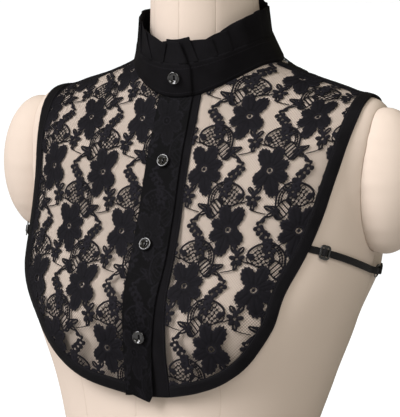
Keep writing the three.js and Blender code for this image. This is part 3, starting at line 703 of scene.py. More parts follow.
def cell(x, y):
    parts = [flower(x, y), vine(x, y), shell(x, y)]
    parts += [split_leaf(x, y, *leaf) for leaf in LEAVES]
    parts += [stroke(x, y, points, half_width) for points, half_width in TENDRILS]
    for blossom in (BLOSSOM, SHELL_BLOSSOM):
        middle, eye = blossom["centre"], blossom["eye"]
        parts = [np.minimum(part, -disc(x, y, middle, eye)) for part in parts]
        parts.append(small_blossom(x, y, middle, blossom["petals"], blossom["reach"], blossom["petal"], eye))
    return np.max(parts, 0)


def make_tile(pattern):
    step = TILE["step"]
    xs = np.arange(TILE["low"][0], TILE["high"][0], step)
    ys = np.arange(TILE["low"][1], TILE["high"][1], step)
    return pattern(*np.meshgrid(xs, ys, indexing="ij"))


def cells_over(values, start, size):
    """The numbers of the cells that values reach, with one to spare at each end."""
    first = math.floor((values.min() - start) / size) - 1
    return range(first, math.ceil((values.max() - start) / size) + 2)


def repeated(tile, s, t, phase, empty=-3.0):
    """A tile's value at each point of the cloth. phase is the middle of an unmirrored row's flower."""
    depth = np.full(s.shape, empty)
    for row in cells_over(t, phase[1], CELL_HEIGHT):
        mirror = -1 if row % 2 else 1
        shift = phase[0] + (CELL_WIDTH / 2 if row % 2 else 0)
        for column in cells_over(s, shift, CELL_WIDTH):
            x = mirror * (s - shift - column * CELL_WIDTH)
            y = t - phase[1] - row * CELL_HEIGHT
            i = (x - TILE["low"][0]) / TILE["step"]
            j = (y - TILE["low"][1]) / TILE["step"]
            near = (i > 0) & (j > 0) & (i < tile.shape[0] - 1.01) & (j < tile.shape[1] - 1.01)
            if near.any():
                depth[near] = np.maximum(depth[near], between(tile, i[near], j[near]))
    return depth


# ---------- meshes ----------
def grid_faces(rows, columns, loop_rows=False, loop_columns=False):
    """Quads of a grid of points, which may run round on itself either way."""
    number = np.arange(rows * columns).reshape(rows, columns)
    if loop_rows:
        number = np.concatenate((number, number[:1]))
    if loop_columns:
        number = np.concatenate((number, number[:, :1]), 1)
    corners = number[:-1, :-1], number[1:, :-1], number[1:, 1:], number[:-1, 1:]
    return np.stack([corner.ravel() for corner in corners], -1)


def in_triangles(quads):
    return np.concatenate((quads[:, [0, 1, 2]], quads[:, [0, 2, 3]]))


def turn_first(triangles, flags):
    """Turns each triangle round so that its flagged corner comes first."""
    k = flags.argmax(1)
    rows = np.arange(len(triangles))
    return np.stack([triangles[rows, (k + j) % 3] for j in range(3)], -1)


def clipped_mesh(s, t, depth):
    """A grid's triangles where depth is positive, cut along its zero line: flat points, depths and faces."""
    triangles = in_triangles(grid_faces(*s.shape))
    value = depth.ravel()
    inside = value[triangles] > 0
    count = inside.sum(1)
    one = turn_first(triangles[count == 1], inside[count == 1])
    two = turn_first(triangles[count == 2], ~inside[count == 2])
    edges = np.concatenate((one[:, [0, 1]], one[:, [0, 2]], two[:, [1, 0]], two[:, [2, 0]]))
    pairs, cut = np.unique(np.sort(edges, 1), axis=0, return_inverse=True)
    k, m = len(one), len(two)
    first, second, third, fourth = np.split(cut.ravel() + s.size, (k, 2 * k, 2 * k + m))
    faces = np.concatenate((
        triangles[count == 3],
        stacked(one[:, 0], first, second),
        stacked(two[:, 1], two[:, 2], fourth),
        stacked(two[:, 1], fourth, third),
    ))
    share = value[pairs[:, 0]] / (value[pairs[:, 0]] - value[pairs[:, 1]])
    share = np.clip(share, 0.06, 0.94)[:, None]
    flat = stacked(s.ravel(), t.ravel())
    flat = np.concatenate((flat, mix(flat[pairs[:, 0]], flat[pairs[:, 1]], share)))
    deep = np.concatenate((np.maximum(value, 0), np.zeros(len(pairs))))
    used, faces = np.unique(faces, return_inverse=True)
    return flat[used], deep[used], faces.reshape(-1, 3)


def rim_faces(faces, count):
    """Triangles from each edge that only one face has to its feet, which are numbered count higher."""
    edges = np.concatenate((faces[:, [0, 1]], faces[:, [1, 2]], faces[:, [2, 0]]))
    size = faces.max() + 1
    keys = edges[:, 0] * size + edges[:, 1]
    start, end = edges[~np.isin(keys, edges[:, 1] * size + edges[:, 0])].T
    return np.concatenate((
        stacked(end, start, start + count),
        stacked(end, start + count, end + count),
    ))


def wall_faces(rows, columns):
    """Quads of a closed wall whose outer grid of points comes first and its inner one after."""
    outer = grid_faces(rows, columns)
    count = rows * columns
    number = np.arange(count).reshape(rows, columns)
    border = np.concatenate((number[0, :-1], number[:-1, -1], number[-1, :0:-1], number[:0:-1, 0]))
    after = np.roll(border, -1)
    rim = stacked(border, after, after + count, border + count)
    return np.concatenate((outer, outer[:, ::-1] + count, rim))


def signed_volume(points, faces):
    a, b, c = points[faces[:, 0]], points[faces[:, 1]], points[faces[:, 2]]
    total = np.sum(a * np.cross(b, c))
    if faces.shape[1] == 4:
        total += np.sum(a * np.cross(c, points[faces[:, 3]]))
    return total / 6


def make_piece(name, points, faces, material, slot, nodes=(), flat=None, values=None, closed=True):
    """One visible piece.

    flat gives each point's place on the flat cloth in millimetres, and is kept as the piece's UV map.
    """
    if closed and signed_volume(points, faces) < 0:
        faces = faces[:, ::-1]
    mesh = bpy.data.meshes.new(name)
    mesh.from_pydata((points * MM).tolist(), [], faces.tolist())
    mesh.polygons.foreach_set("use_smooth", [True] * len(mesh.polygons))
    if flat is not None:
        corner = np.empty(len(mesh.loops), dtype=np.int32)
        mesh.loops.foreach_get("vertex_index", corner)
        layer = mesh.uv_layers.new(name="cloth")
        layer.data.foreach_set("uv", (flat[corner] * MM).astype(np.float32).ravel())
    for key, value in (values or {}).items():
        attribute = mesh.attributes.new(key, "FLOAT", "POINT")
        attribute.data.foreach_set("value", np.asarray(value, dtype=np.float32))
    mesh.materials.append(material)
    mesh.update()
    piece = bpy.data.objects.new(name, mesh)
    bpy.context.collection.objects.link(piece)
    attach(piece, "root")
    if nodes:
        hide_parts(*nodes)
    return piece


def wall_piece(name, outer, inner, material, slot, nodes=(), flat=None, values=None):
    """A closed wall between two grids of points."""
    rows, columns = outer.shape[:2]
    points = np.concatenate((outer.reshape(-1, 3), inner.reshape(-1, 3)))
    if flat is not None:
        flat = np.concatenate((flat.reshape(-1, 2),) * 2)
    if values:
        values = {key: np.concatenate((value.ravel(),) * 2) for key, value in values.items()}
    return make_piece(name, points, wall_faces(rows, columns), material, slot, nodes, flat, values)


def middle_lengths(points):
    """Lengths along the first axis of a grid of points, measured along its middle line."""
    return walked(points[:, points.shape[1] // 2])[:, None]


def rounded(share, power=6):
    """The height of a strip's cross section: 1 in the middle and 0 at both edges."""
    return (1 - np.abs(2 * share - 1) ** power) ** 0.5


def wobble(values, pitches, seed):
    """Smooth uneven waves of about -1 to 1 along a line measured in millimetres."""
    rng = np.random.default_rng(seed)
    total = sum(np.sin(2 * np.pi * values / pitch + rng.uniform(0, 2 * np.pi)) for pitch in pitches)
    return total / len(pitches)


# ---------- materials ----------
class Finish:
    """A material with its principled shader, and short ways to add nodes to it."""

    def __init__(self, name, color, roughness, **settings):
        self.material = bpy.data.materials.new(name)
        self.material.use_nodes = True
        self.tree = self.material.node_tree
        self.shader = self.tree.nodes["Principled BSDF"]
        self.set("Base Color", (*color, 1))
        self.set("Roughness", roughness)
        for key, value in settings.items():
            self.set(key.replace("_", " "), value)

    def plug(self, socket, value):
        if isinstance(value, bpy.types.NodeSocket):
            self.tree.links.new(value, socket)
        else:
            socket.default_value = value

    def set(self, key, value):
        self.plug(self.shader.inputs[key], value)

    def node(self, kind, inputs, output=0, **settings):
        made = self.tree.nodes.new(kind)
        for key, value in settings.items():
            setattr(made, key, value)
        for key, value in inputs.items():
            self.plug(made.inputs[key], value)
        return made.outputs[output]

    def math(self, operation, *values):
        return self.node("ShaderNodeMath", dict(enumerate(values)), operation=operation)

    def times(self, a, b):
        return self.math("MULTIPLY", a, b)

    def distance(self, a, b):
        return self.math("ABSOLUTE", self.math("SUBTRACT", a, b))

    def highest(self, values):
        return functools.reduce(functools.partial(self.math, "MAXIMUM"), values)

    def cloth(self):
        """Flat cloth coordinates in metres."""
        return self.node("ShaderNodeUVMap", {}, uv_map="cloth")

    def flat(self):
        """The two flat cloth coordinates, each on its own."""
        first = self.node("ShaderNodeSeparateXYZ", {0: self.cloth()})
        return first, first.node.outputs[1]

    def value(self, name):
        return self.node("ShaderNodeAttribute", {}, output="Fac", attribute_name=name)

    def noise(self, scale, detail=2.0, vector=None):
        vector = vector or self.node("ShaderNodeTexCoord", {}, output="Object")
        return self.node("ShaderNodeTexNoise", {"Scale": scale, "Detail": detail, "Vector": vector})

    def ramp(self, value, low, high, to_low=0.0, to_high=1.0):
        limits = {"From Min": low, "From Max": high, "To Min": to_low, "To Max": to_high}
        return self.node("ShaderNodeMapRange", {"Value": value, **limits})

    def blend(self, share, first, second):
        return self.node("ShaderNodeMix", {0: share, 6: first, 7: second}, output=2, data_type="RGBA")

    def speckled(self, color, scale, low, high):
        """Uneven colour, from low to high times the given one."""
        share = self.ramp(self.noise(scale, 4), 0.3, 0.7)
        return self.blend(share, tone(color, low), tone(color, high))

    def bump(self, height, strength, distance):
        inputs = {"Height": height, "Strength": strength, "Distance": distance}
        if self.shader.inputs["Normal"].is_linked:
            inputs["Normal"] = self.shader.inputs["Normal"].links[0].from_socket
        self.set("Normal", self.node("ShaderNodeBump", inputs))

    def threads(self, coordinate, pitch):
        """Rounded threads of 0 to 1 across a coordinate in metres."""
        return self.math("ABSOLUTE", self.math("SINE", self.times(coordinate, math.pi / pitch)))

    def weave(self, pitch, strength):
        u, v = self.flat()
        self.bump(self.times(self.threads(u, pitch), self.threads(v, pitch)), strength, 0.0004)


def tone(color, factor):
    return (*(min(c * factor, 1.0) for c in color), 1)


FORM_COLOR = (0.55, 0.465, 0.402)
# Painted shade: the form's colour is darkened towards this brown along each seam, as the shade in the seam's
# groove.
SEAM_SHADE_COLOR = (0.36, 0.27, 0.18, 1)
SEAM_LINES = {  # half width in millimetres and strength of the painted shade, a dark line, along each seam's groove on the form
    "seam_middle": (0.5, 0.35),
    "seam_princess": (0.5, 0.35),
    "seam_side": (0.6, 0.8),
    "seam_cap": (0.9, 1),
}
BLACK = (0.0041, 0.0038, 0.0047)
LACE_BLACK = (0.0052, 0.0048, 0.0066)
PLASTIC_BLACK = (0.006, 0.006, 0.007)
STITCH_LENGTH = 0.0024
RIB_PITCH = 0.0008
RIB_SLANT = 0.22
NET_PITCH = 1.7
NET_THREAD = 0.15
NET_SLANT = 1.15
NET_STRETCH = 1.52
FLOOR_COLOR = (0.58, 0.58, 0.58)
FLOOR_GLOW_COLOR = (0.88, 0.94, 1, 1)
FLOOR_GLOW = 0.62


def form_cloth():
    finish = Finish("form_cloth", FORM_COLOR, 0.86, Specular_IOR_Level=0.2)
    lines = []
    for name, (width, depth) in SEAM_LINES.items():
        away = finish.math("ABSOLUTE", finish.value(name))
        lines.append(finish.ramp(away, width * MM, 0.15 * MM, 0.0, depth))
    line = finish.highest(lines)
    color = finish.speckled(FORM_COLOR, 9, 0.965, 1.03)
    # Painted shade: the colour is darkened along each seam, as the shade in its groove, beside the real dent
    # of the bump.
    finish.set("Base Color", finish.blend(finish.times(line, 0.42), color, SEAM_SHADE_COLOR))
    finish.bump(finish.times(line, -1), 0.8, 0.0008)
    finish.bump(finish.noise(700, 3), 0.16, 0.0004)
    finish.weave(0.0009, 0.22)
    return finish.material


def black_cloth(name, roughness, stitch_lines=()):
    """Woven black cloth. stitch_lines are the places across it, in millimetres, of rows of stitches."""
    finish = Finish(name, BLACK, roughness, Specular_IOR_Level=0.05)
    color = finish.speckled(BLACK, 60, 0.8, 1.35)
    finish.weave(0.0007, 0.35)
    finish.bump(finish.noise(260, 3), 0.12, 0.0006)
    if stitch_lines:
        u, v = finish.flat()
        dashes = finish.ramp(finish.threads(u, STITCH_LENGTH), 0.25, 0.5)
        rows = [finish.ramp(finish.distance(v, line * MM), 0.45 * MM, 0.2 * MM) for line in stitch_lines]
        row = finish.highest(rows)
        stitches = finish.times(row, dashes)
        color = finish.blend(stitches, color, tone(BLACK, 2.6))
        finish.bump(finish.math("SUBTRACT", finish.times(stitches, 1.5), row), 0.7, 0.0005)
    finish.set("Base Color", color)
    return finish.material


def lace_thread(name, low, high):
    """Dense embroidery thread, with its relief carried by the mesh and fine ribs by the bump. Its colour
    holds a painted sheen: lighter where the relief is higher and along the motifs' edges.
    """
    finish = Finish(name, LACE_BLACK, 0.72, Specular_IOR_Level=0.07)
    # Painted sheen: the colour goes lighter with the relief and along the motifs' edges, so the folds between
    # petals come out darker.
    edge = finish.times(finish.ramp(finish.value("edge"), 0.1, 0.9), 0.6)
    share = finish.math("ADD", finish.times(finish.value("relief"), 0.35), edge)
    finish.set("Base Color", finish.blend(share, tone(LACE_BLACK, low), tone(LACE_BLACK, high)))
    u, v = finish.flat()
    lean = finish.math("ADD", u, finish.times(v, RIB_SLANT))
    sway = finish.times(finish.noise(80, 2, finish.cloth()), 0.004)
    finish.bump(finish.threads(finish.math("ADD", lean, sway), RIB_PITCH), 0.4, 0.0004)
    finish.bump(finish.noise(420, 3), 0.2, 0.0005)
    return finish.material


def net_ground():
    """Fine diamond net: thin threads with open air between them."""
    finish = Finish("net_ground", LACE_BLACK, 0.8)
    u, v = finish.flat()
    per_metre = 1 / (NET_PITCH * MM * NET_STRETCH)
    thread = NET_THREAD / NET_PITCH
    strands = []
    for sign in (-1, 1):
        slanted = finish.math("ADD", finish.times(u, sign * NET_SLANT), v)
        cell = finish.math("FRACT", finish.times(slanted, per_metre))
        strands.append(finish.ramp(finish.distance(cell, 0.5), thread, 0.4 * thread))
    finish.set("Alpha", finish.highest(strands))
    return finish.material


def elastic_cloth():
    finish = Finish("elastic", BLACK, 0.7, Sheen_Weight=0.03, Specular_IOR_Level=0.2)
    u, v = finish.flat()
    finish.bump(finish.threads(v, 0.0011), 0.6, 0.0005)
    finish.bump(finish.threads(u, 0.0006), 0.35, 0.0003)
    finish.set("Base Color", finish.speckled(BLACK, 90, 0.8, 1.5))
    return finish.material


def black_plastic(name, roughness, scratches):
    finish = Finish(name, PLASTIC_BLACK, roughness, Coat_Weight=0.75, Coat_Roughness=0.05)
    finish.set("Base Color", finish.speckled(PLASTIC_BLACK, 300, 0.8, 1.3))
    wear = finish.noise(900, 2)
    finish.set("Roughness", finish.ramp(wear, 0.3, 0.7, roughness * 0.7, roughness * 1.5))
    finish.bump(finish.noise(1400, 2), scratches, 0.0001)
    return finish.material


def floor_paint():
    """Matt paint. The camera sees it lit up to white, and it throws little of that on the form."""
    finish = Finish("floor", FLOOR_COLOR, 0.7)
    finish.set("Base Color", finish.speckled(FLOOR_COLOR, 3, 0.99, 1.01))
    finish.set("Emission Color", FLOOR_GLOW_COLOR)
    seen = finish.node("ShaderNodeLightPath", {}, "Is Camera Ray")
    finish.set("Emission Strength", finish.times(seen, FLOOR_GLOW))
    return finish.material


# ---------- the dress form ----------
PRINCESS = {"x": 68, "neck_x": 30, "waist_x": 56}
MIDDLE_LEAN = 10  # the middle seam drifts to the wearer's right below the bust
TORSO_GRID = (240, 150)
TORSO_RADIUS = 118  # for the flat cloth's coordinates
SEAM_DENT = {"depth": 0.22, "half_width": 1.6}
CAP_DENT = {"depth": 0.9, "half_width": 3.2, "pucker": 0.35}
CAP_GRID = (97, 72)


def princess_x(z):
    """How far the princess seam lies from the middle at each height."""
    low = mix(PRINCESS["waist_x"], PRINCESS["x"], smooth(z, 90, 230))
    return mix(low, PRINCESS["neck_x"], smooth(z, 300, 470))


def seam_distances(p, turn, level):
    """How far each point of the torso is from each kind of seam."""
    x, y, z = np.moveaxis(p, -1, 0)
    lean = MIDDLE_LEAN * (1 - smooth(z, 210, 330)) * (np.cos(turn) > 0)
    return {
        "seam_middle": x + lean,
        "seam_princess": np.abs(x) - princess_x(z),
        "seam_side": y - catmull(FIGURE, level)[..., 1],
        "seam_cap": cap_distance(p),
    }


def torso_dents(p, away):
    """How deep the seams draw the cloth in, with puckers at the caps and slow waves at the sides."""
    x, _, z = np.moveaxis(p, -1, 0)
    pucker = 1 + CAP_DENT["pucker"] * wobble(z, (9, 14, 23), 3)
    dent = CAP_DENT["depth"] * bell(away["seam_cap"], 0, CAP_DENT["half_width"]) * pucker
    for name in ("seam_middle", "seam_princess", "seam_side"):
        dent = dent + SEAM_DENT["depth"] * bell(away[name], 0, SEAM_DENT["half_width"])
    return dent + 0.25 * wobble(z + 0.4 * x, (61, 97), 5) * smooth(np.abs(x), 40, 120)


def add_torso(material):
    around, tall = TORSO_GRID
    turn = np.linspace(-np.pi, np.pi, around + 1)[:-1][:, None]
    level = np.linspace(0, TOP_LEVEL, tall)[None]
    turn, level = np.broadcast_arrays(turn, level)
    p = figure_point(turn, level)
    normal = figure_normal(turn, level)
    p = p + normal * (cap_fillet(p) + FLANK["padding"] * flank_share(turn, p[..., 2]))[..., None]
    away = seam_distances(p, turn, level)
    p = p - normal * (torso_dents(p, away) * smooth(level, 0, 0.4))[..., None]
    base = np.arange(around) * tall
    middle = np.full(around, around * tall)
    faces = np.concatenate((
        in_triangles(grid_faces(around, tall, loop_rows=True)),
        stacked(middle, np.roll(base, -1), base),
        stacked(base + tall - 1, np.roll(base, -1) + tall - 1, middle + 1),
    ))
    points = np.concatenate((p.reshape(-1, 3), [p[:, 0].mean(0)], [p[:, -1].mean(0)]))
    flat = stacked(turn * TORSO_RADIUS, p[..., 2]).reshape(-1, 2)
    flat = np.concatenate((flat, points[-2:, :2]))
    values = {name: np.append(distance.ravel() * MM, [1, 1]) for name, distance in away.items()}
    torso = make_piece("torso", points, faces, material, "form_cloth", ["form_torso"], flat, values)
    for polygon in torso.data.polygons[-2 * around:]:
        polygon.use_smooth = False


def add_cap(side, material):
    """A rounded shoulder end, tucked into the torso."""
    around, tall = CAP_GRID
    angle = np.linspace(0, 2 * np.pi, around)[:, None]
    rise = np.linspace(-np.pi / 2, np.pi / 2, tall)[None]
    shape = stacked(np.cos(rise) * np.cos(angle), np.cos(rise) * np.sin(angle), np.sin(rise))
    p = np.array(CAP["centre"]) * (side, 1, 1) + shape * CAP["half"]
    gathers = 0.35 * wobble(p[..., 2], (13, 19, 31), 7) * smooth(np.abs(p[..., 0]), 205, 165)
    points = (p + shape * gathers[..., None]).reshape(-1, 3)
    flat = stacked(angle * 45, rise * 60).reshape(-1, 2)
    values = {name: np.ones(len(points)) for name in SEAM_LINES}
    name, node = f"shoulder_cap_{SIDE_WORDS[side]}", f"form_cap_{SIDE_WORDS[side]}"
    make_piece(name, points, grid_faces(around, tall), material, "form_cloth", [node], flat, values)


# ---------- lace panels ----------
PANEL_LIFTS = (1.4, 0.7)  # in front and at the back
PANEL_INSET, PANEL_TUCK = 5.5, 1.0
PAINTED_EDGE_SHEEN = {"inside": 0.8, "half_width": 0.5}
RELIEF = {"step": 0.3, "height": 0.65, "rim": 0.3, "rim_depth": 0.5, "body_depth": 3.0, "fold": 0.75}
NET_STEP = 3.0
NET_LIFT = 0.1


def polygon_area(polygon):
    x, y = polygon[:, 0], polygon[:, 1]
    return abs(np.sum(x * np.roll(y, -1) - y * np.roll(x, -1))) / 2


def flat_grid(polygon, step):
    low, high = polygon.min(0) - 1.5 * step, polygon.max(0) + 1.5 * step
    return np.meshgrid(*(np.arange(low[k], high[k], step) for k in (0, 1)), indexing="ij")


# Painted sheen: a band just inside each motif's edge, which the lace colour makes lighter.
def painted_edge_sheen(depth):
    return bell(depth, PAINTED_EDGE_SHEEN["inside"], PAINTED_EDGE_SHEEN["half_width"])


def add_motifs(word, chart, polygon, node, tiles, phase, step, material):
    """A panel's solid lace: a raised slab with no underside, and with the petals' folds in its relief."""
    s, t = flat_grid(polygon, step)
    solid, folds = tiles
    depth = np.minimum(repeated(solid, s, t, phase), outline_distance(polygon, s, t))
    flat, deep, faces = clipped_mesh(s, t, depth)
    rim, body = 1 - np.exp(-deep / RELIEF["rim_depth"]), 1 - np.exp(-deep / RELIEF["body_depth"])
    relief = mix(body, rim, RELIEF["rim"])
    relief = relief * (1 - RELIEF["fold"] * repeated(folds, flat[:, 0], flat[:, 1], phase, 0.0))
    foot = PANEL_LIFTS[chart.back]
    outer = chart.at(*flat.T, foot + RELIEF["step"] + RELIEF["height"] * relief)
    inner = chart.at(*flat.T, np.full(len(flat), foot))
    faces = np.concatenate((faces, rim_faces(faces, len(flat))))
    used, faces = np.unique(faces, return_inverse=True)
    faces = faces.reshape(-1, 3)
    # relief and edge also give the lace colour its painted sheen: lighter on the raised lace and along its
    # edges.
    values = {"relief": relief, "edge": painted_edge_sheen(deep)}
    values = {key: np.append(value, value * 0)[used] for key, value in values.items()}
    points, flat = np.concatenate((outer, inner))[used], np.concatenate((flat, flat))[used]
    faces = faces[:, ::-1] if chart.back else faces
    return make_piece(f"lace_{word}", points, faces, material, "lace", [node], flat, values, closed=False)


def add_panel(word, chart, patch, node, tiles, phase, step, lace, net):
    """A bib panel: raised solid lace, on a net ground that is its own thin sheet."""
    polygon = panel_polygon(chart, patch, PANEL_INSET, PANEL_TUCK)
    motifs = add_motifs(word, chart, polygon, node, tiles, phase, step, lace)
    s, t = flat_grid(polygon, NET_STEP)
    flat, _, faces = clipped_mesh(s, t, outline_distance(polygon, s, t))
    points = chart.at(*flat.T, np.full(len(flat), PANEL_LIFTS[chart.back] + NET_LIFT))
    faces = faces[:, ::-1] if chart.back else faces
    ground = make_piece(f"net_{word}", points, faces, net, "lace", [], flat, closed=False)
    area = polygon_area(polygon) * MM * MM


# ---------- strips of folded cloth ----------
# lifts are the outer face's heights at the edges and in the middle, and foot is the inner face's.
# stitches are the places of the rows of stitches across the strip.
BINDING = {"width": BINDING_WIDTH, "lifts": (1.2, 2.9), "foot": 0.65, "stitches": (1.6, 9.3)}
SEAM_STRIP = {"width": SHOULDER_SEAM_WIDTH, "lifts": (0.9, 2.5), "foot": 0.55, "stitches": (1.4, 7.6)}
UNDER_STRIP = {"width": 34, "lifts": (1.1, 1.8), "foot": 0.65, "stitches": (32.5,)}
TOP_STRIP = {"width": 33, "lifts": (2.9, 3.35), "foot": 2.2, "stitches": (2.0, 31.0)}
PLACKET_RISE, PLACKET_BLEND = 1.3, 30.0
PLACKET_END = [(0, 0.5), (0.28, -1.0), (0.86, 5.0), (1, -2.0)]  # share of the width, and drop below the hem
PLACKET_TAPER = 8.0
PLACKET_PHASE = (13.0, -22.0)
PLACKET_RELIEF = {"height": 0.4, "base": 0.35, "body_depth": 2.2, "fold": 0.7}
PUCKERS, SLOW_WAVES = (6.5, 9.1, 14.3), (38, 61)  # pitches along a strip
PINCH = {"half_width": 0.55, "depth": 0.3, "pucker": 0.08}
BESIDE_PINCH = {"half_width": 1.7, "pucker": 0.1}


def even_outline(patch, count):
    """Shares of the outline whose points are evenly spaced."""
    u = np.linspace(0, 1, 600)
    gone = walked(worn(outline_place(patch, u)))
    return np.interp(np.linspace(0, gone[-1], count), gone, u)


def strip_shape(turn, level, strip, seed):
    """How far along and across each point of a strip lies, and the lift of its outer face.

    The strip is domed, pinched along its stitches and a little puckered.
    """
    along = middle_lengths(cloth_point(turn, level))
    share = shares(turn.shape[1])
    across = share * strip["width"]
    lift = mix(*strip["lifts"], rounded(share, 10))
    pucker = wobble(along, PUCKERS, seed)
    slow = wobble(along, SLOW_WAVES, seed + 1)
    for stitch in strip["stitches"]:
        pinch = bell(across, stitch, PINCH["half_width"]) * (PINCH["depth"] + PINCH["pucker"] * pucker)
        nearby = bell(across, stitch, BESIDE_PINCH["half_width"]) * BESIDE_PINCH["pucker"] * pucker
        lift = lift - pinch + nearby
    return along, across, lift + 0.12 * slow * rounded(share, 4)


def add_strip(name, node, places, strip, seed, material):
    """A folded strip of cloth on the figure, and its length in metres."""
    turn, level = np.broadcast_arrays(*places)
    along, across, lift = strip_shape(turn, level, strip, seed)
    outer = cloth_point(turn, level, lift)
    inner = cloth_point(turn, level, np.full(turn.shape, strip["foot"]))
    piece = wall_piece(name, outer, inner, material, "solid_cloth", [node], stacked(along, across))
    return piece, float(along[-1, 0]) * MM


def add_binding(word, patch, count, material):
    distances = np.linspace(-0.1, BINDING_WIDTH + 0.1, 25)
    places = inset_places(patch, even_outline(patch, count), distances).transpose(2, 1, 0)
    seed = 11 + len(word)
    piece, length = add_strip(f"edge_strip_{word}", f"binding_{word}", places, BINDING, seed, material)


def add_shoulder_seam(side, material):
    word = SIDE_WORDS[side]
    level = np.linspace(NECKLINE["side"], SHOULDER_TIP_LEVEL, 120)[:, None]
    half = SHOULDER_SEAM_WIDTH / 2
    turn = side * mix(beside_ridge(level, half), beside_ridge(level, -half), shares(15))
    name, node = f"seam_strip_{word}", f"shoulder_seam_{word}"
    piece, length = add_strip(name, node, (turn, level), SEAM_STRIP, 23 + side, material)


def strip_places(edges, rows, columns, end=((0, 0), (1, 0)), taper=0.0):
    """Turns and levels of a strip down the front, from the neck to the hem, and its rise over the binding."""
    left, right = edges["left"], edges["right"]
    u, v = shares(columns), shares(rows).T
    top = neck_place(mix(left[0], right[0], u[0]))[:, 1][None]
    hem_x = mix(left[1], right[1], u[0])
    hem_z = hem_height(hem_x)
    bottom = locate(hem_x, hem_z - np.interp(u[0], *zip(*end)), False)[:, 1][None]
    level = mix(top, bottom, v)
    x = mix(mix(*left, v), mix(*right, v) - taper * smooth(v, 0.65, 1.05), u)
    turn = turn_at(x, level, False)
    height = figure_point(turn, level)[..., 2] - hem_z - BINDING_WIDTH
    return turn, level, 1 - smooth(height, 0, PLACKET_BLEND)


def add_under_placket(material):
    places = strip_places(UNDER_PLACKET, 200, 25)[:2]
    piece, length = add_strip("under_strip", "under_placket", places, UNDER_STRIP, 31, material)


def add_placket(tiles, material):
    turn, level, near_hem = strip_places(PLACKET, 350, 43, PLACKET_END, PLACKET_TAPER)
    along, across, lift = strip_shape(turn, level, TOP_STRIP, 41)
    s, t = np.broadcast_arrays(across, -along)
    depth, folds = repeated(tiles[0], s, t, PLACKET_PHASE), repeated(tiles[1], s, t, PLACKET_PHASE, 0.0)
    body = 1 - np.exp(-np.maximum(depth, 0) / PLACKET_RELIEF["body_depth"])
    relief = np.where(depth > 0, mix(PLACKET_RELIEF["base"], 1, body), 0)
    relief = relief * (1 - PLACKET_RELIEF["fold"] * folds)
    rise = PLACKET_RISE * near_hem
    lift = lift + PLACKET_RELIEF["height"] * relief + rise
    outer = cloth_point(turn, level, lift - 0.35 * smooth(along, 3, 0))
    inner = cloth_point(turn, level, TOP_STRIP["foot"] + rise)
    # relief and edge give the placket lace its painted sheen: lighter on the raised lace and along its edges.
    flat, values = stacked(s, t), {"relief": relief, "edge": painted_edge_sheen(depth)}
    piece = wall_piece("top_strip", outer, inner, material, "lace", ["placket"], flat, values)


# ---------- band and ruffle ----------
UNDER_LIFTS = (0.9, 2.4)
OVER_LIFTS = (2.8, 4.3)
CORNER = 6.0
BAND_HEIGHT = 28.0
BAND_GRID = (300, 20)
BAND_WAVE = {"height": 0.28, "pitches": (23, 37, 51)}
BAND_RADII = {"end": 52, "face": 54, "seam": 60}
RUFFLE_START = -8  # degrees: hidden behind the buttoning end
# Each outer fold's turn at the seam and at the top, its overlap, and the top edge's rise before and at it.
PLEATS = [
    (21, 13, 5.0, 0.0, 1.6),
    (37, 33, 4.5, -1.6, -5.6),
    (50, 46.5, 5.0, -4.2, -3.4),
    (67, 62, 5.5, -2.6, -0.4),
    (84, 82, 4.5, -0.2, 0.7),
    (103, 99, 6.0, 0.6, -0.6),
    (120, 118, 5.0, 1.2, 0.2),
    (139, 136, 6.5, 0.6, -0.8),
    (157, 156, 4.0, 0.4, 0.2),
    (176, 173, 5.0, 1.0, -0.4),
    (194, 193, 6.0, 0.3, -0.9),
    (213, 210, 4.5, 0.8, 0.1),
    (231, 230, 5.5, 0.5, -0.5),
    (249, 247, 5.0, 0.9, -0.2),
    (268, 265, 4.0, 0.6, -0.6),
    (286, 284, 5.5, 1.6, 0.8),
    (302, 299, 5.0, 1.2, 0.4),
    (320, 312, 4.5, 0.6, -0.4),
    (339, 327, 5.0, 0.3, 0.0),
    (350.5, 353, 4.0, -0.2, -3.4),
]
RUFFLE_END = (373, 366, -2.4, -2.0)
RUFFLE_RADIUS = 54.0
PLEAT_LIFTS = (0.3, 2.1)  # the ruffle's middle line, out from the band, behind a fold and at it
PLEAT_WALL = 0.26  # half the cloth's thickness
PLEAT_BEND = 0.45
RUFFLE_TUCK = 1.2  # into the band's top seam
RUFFLE_WIDTH = 23


def overlap_share(turn):
    return smooth(turn - 2 * np.pi, *OVERLAP_TURN)


def band_lift(turn, face):
    return mix(UNDER_LIFTS[face], OVER_LIFTS[face], overlap_share(turn))


def collar_point(row, turn, out):
    p = ring_point(row, turn)
    along = ring_point(row, turn + TINY) - ring_point(row, turn - TINY)
    outward = unit(stacked(along[..., 1], -along[..., 0], 0 * along[..., 0]))
    return p + outward * np.asarray(out)[..., None]


def add_band(material):
    columns, rows = BAND_GRID
    start = float(neck_place(UNDER_PLACKET["left"][0])[0])
    end = 2 * np.pi + float(neck_place(PLACKET["right"][0])[0])
    turn = np.linspace(start, end, columns)[:, None]
    turn, share = np.broadcast_arrays(turn, shares(rows))
    to_end = (end - turn) * BAND_RADII["end"]
    cut = CORNER - np.sqrt(np.maximum(CORNER**2 - np.maximum(CORNER - to_end, 0) ** 2, 0))
    height = share * (1 - cut / BAND_HEIGHT)
    along = (turn - start) * BAND_RADII["face"]
    waves = BAND_WAVE["height"] * wobble(along + 9 * share, BAND_WAVE["pitches"], 51) * rounded(share, 3)
    edge = 0.5 * (1 - rounded(share, 14)) + 0.4 * smooth(to_end, 1.2, 0)
    grids = []
    for out in (band_lift(turn, 1) - edge + waves, band_lift(turn, 0) + 0.5 * edge):
        foot = cloth_point(turn, neck_level(turn), out)
        grids.append(mix(foot, collar_point(COLLAR_SEAM, turn, out), height[..., None]))
    flat = stacked(along, height * BAND_HEIGHT)
    piece = wall_piece("band", *grids, material, "solid_cloth", ["collar_band"], flat)


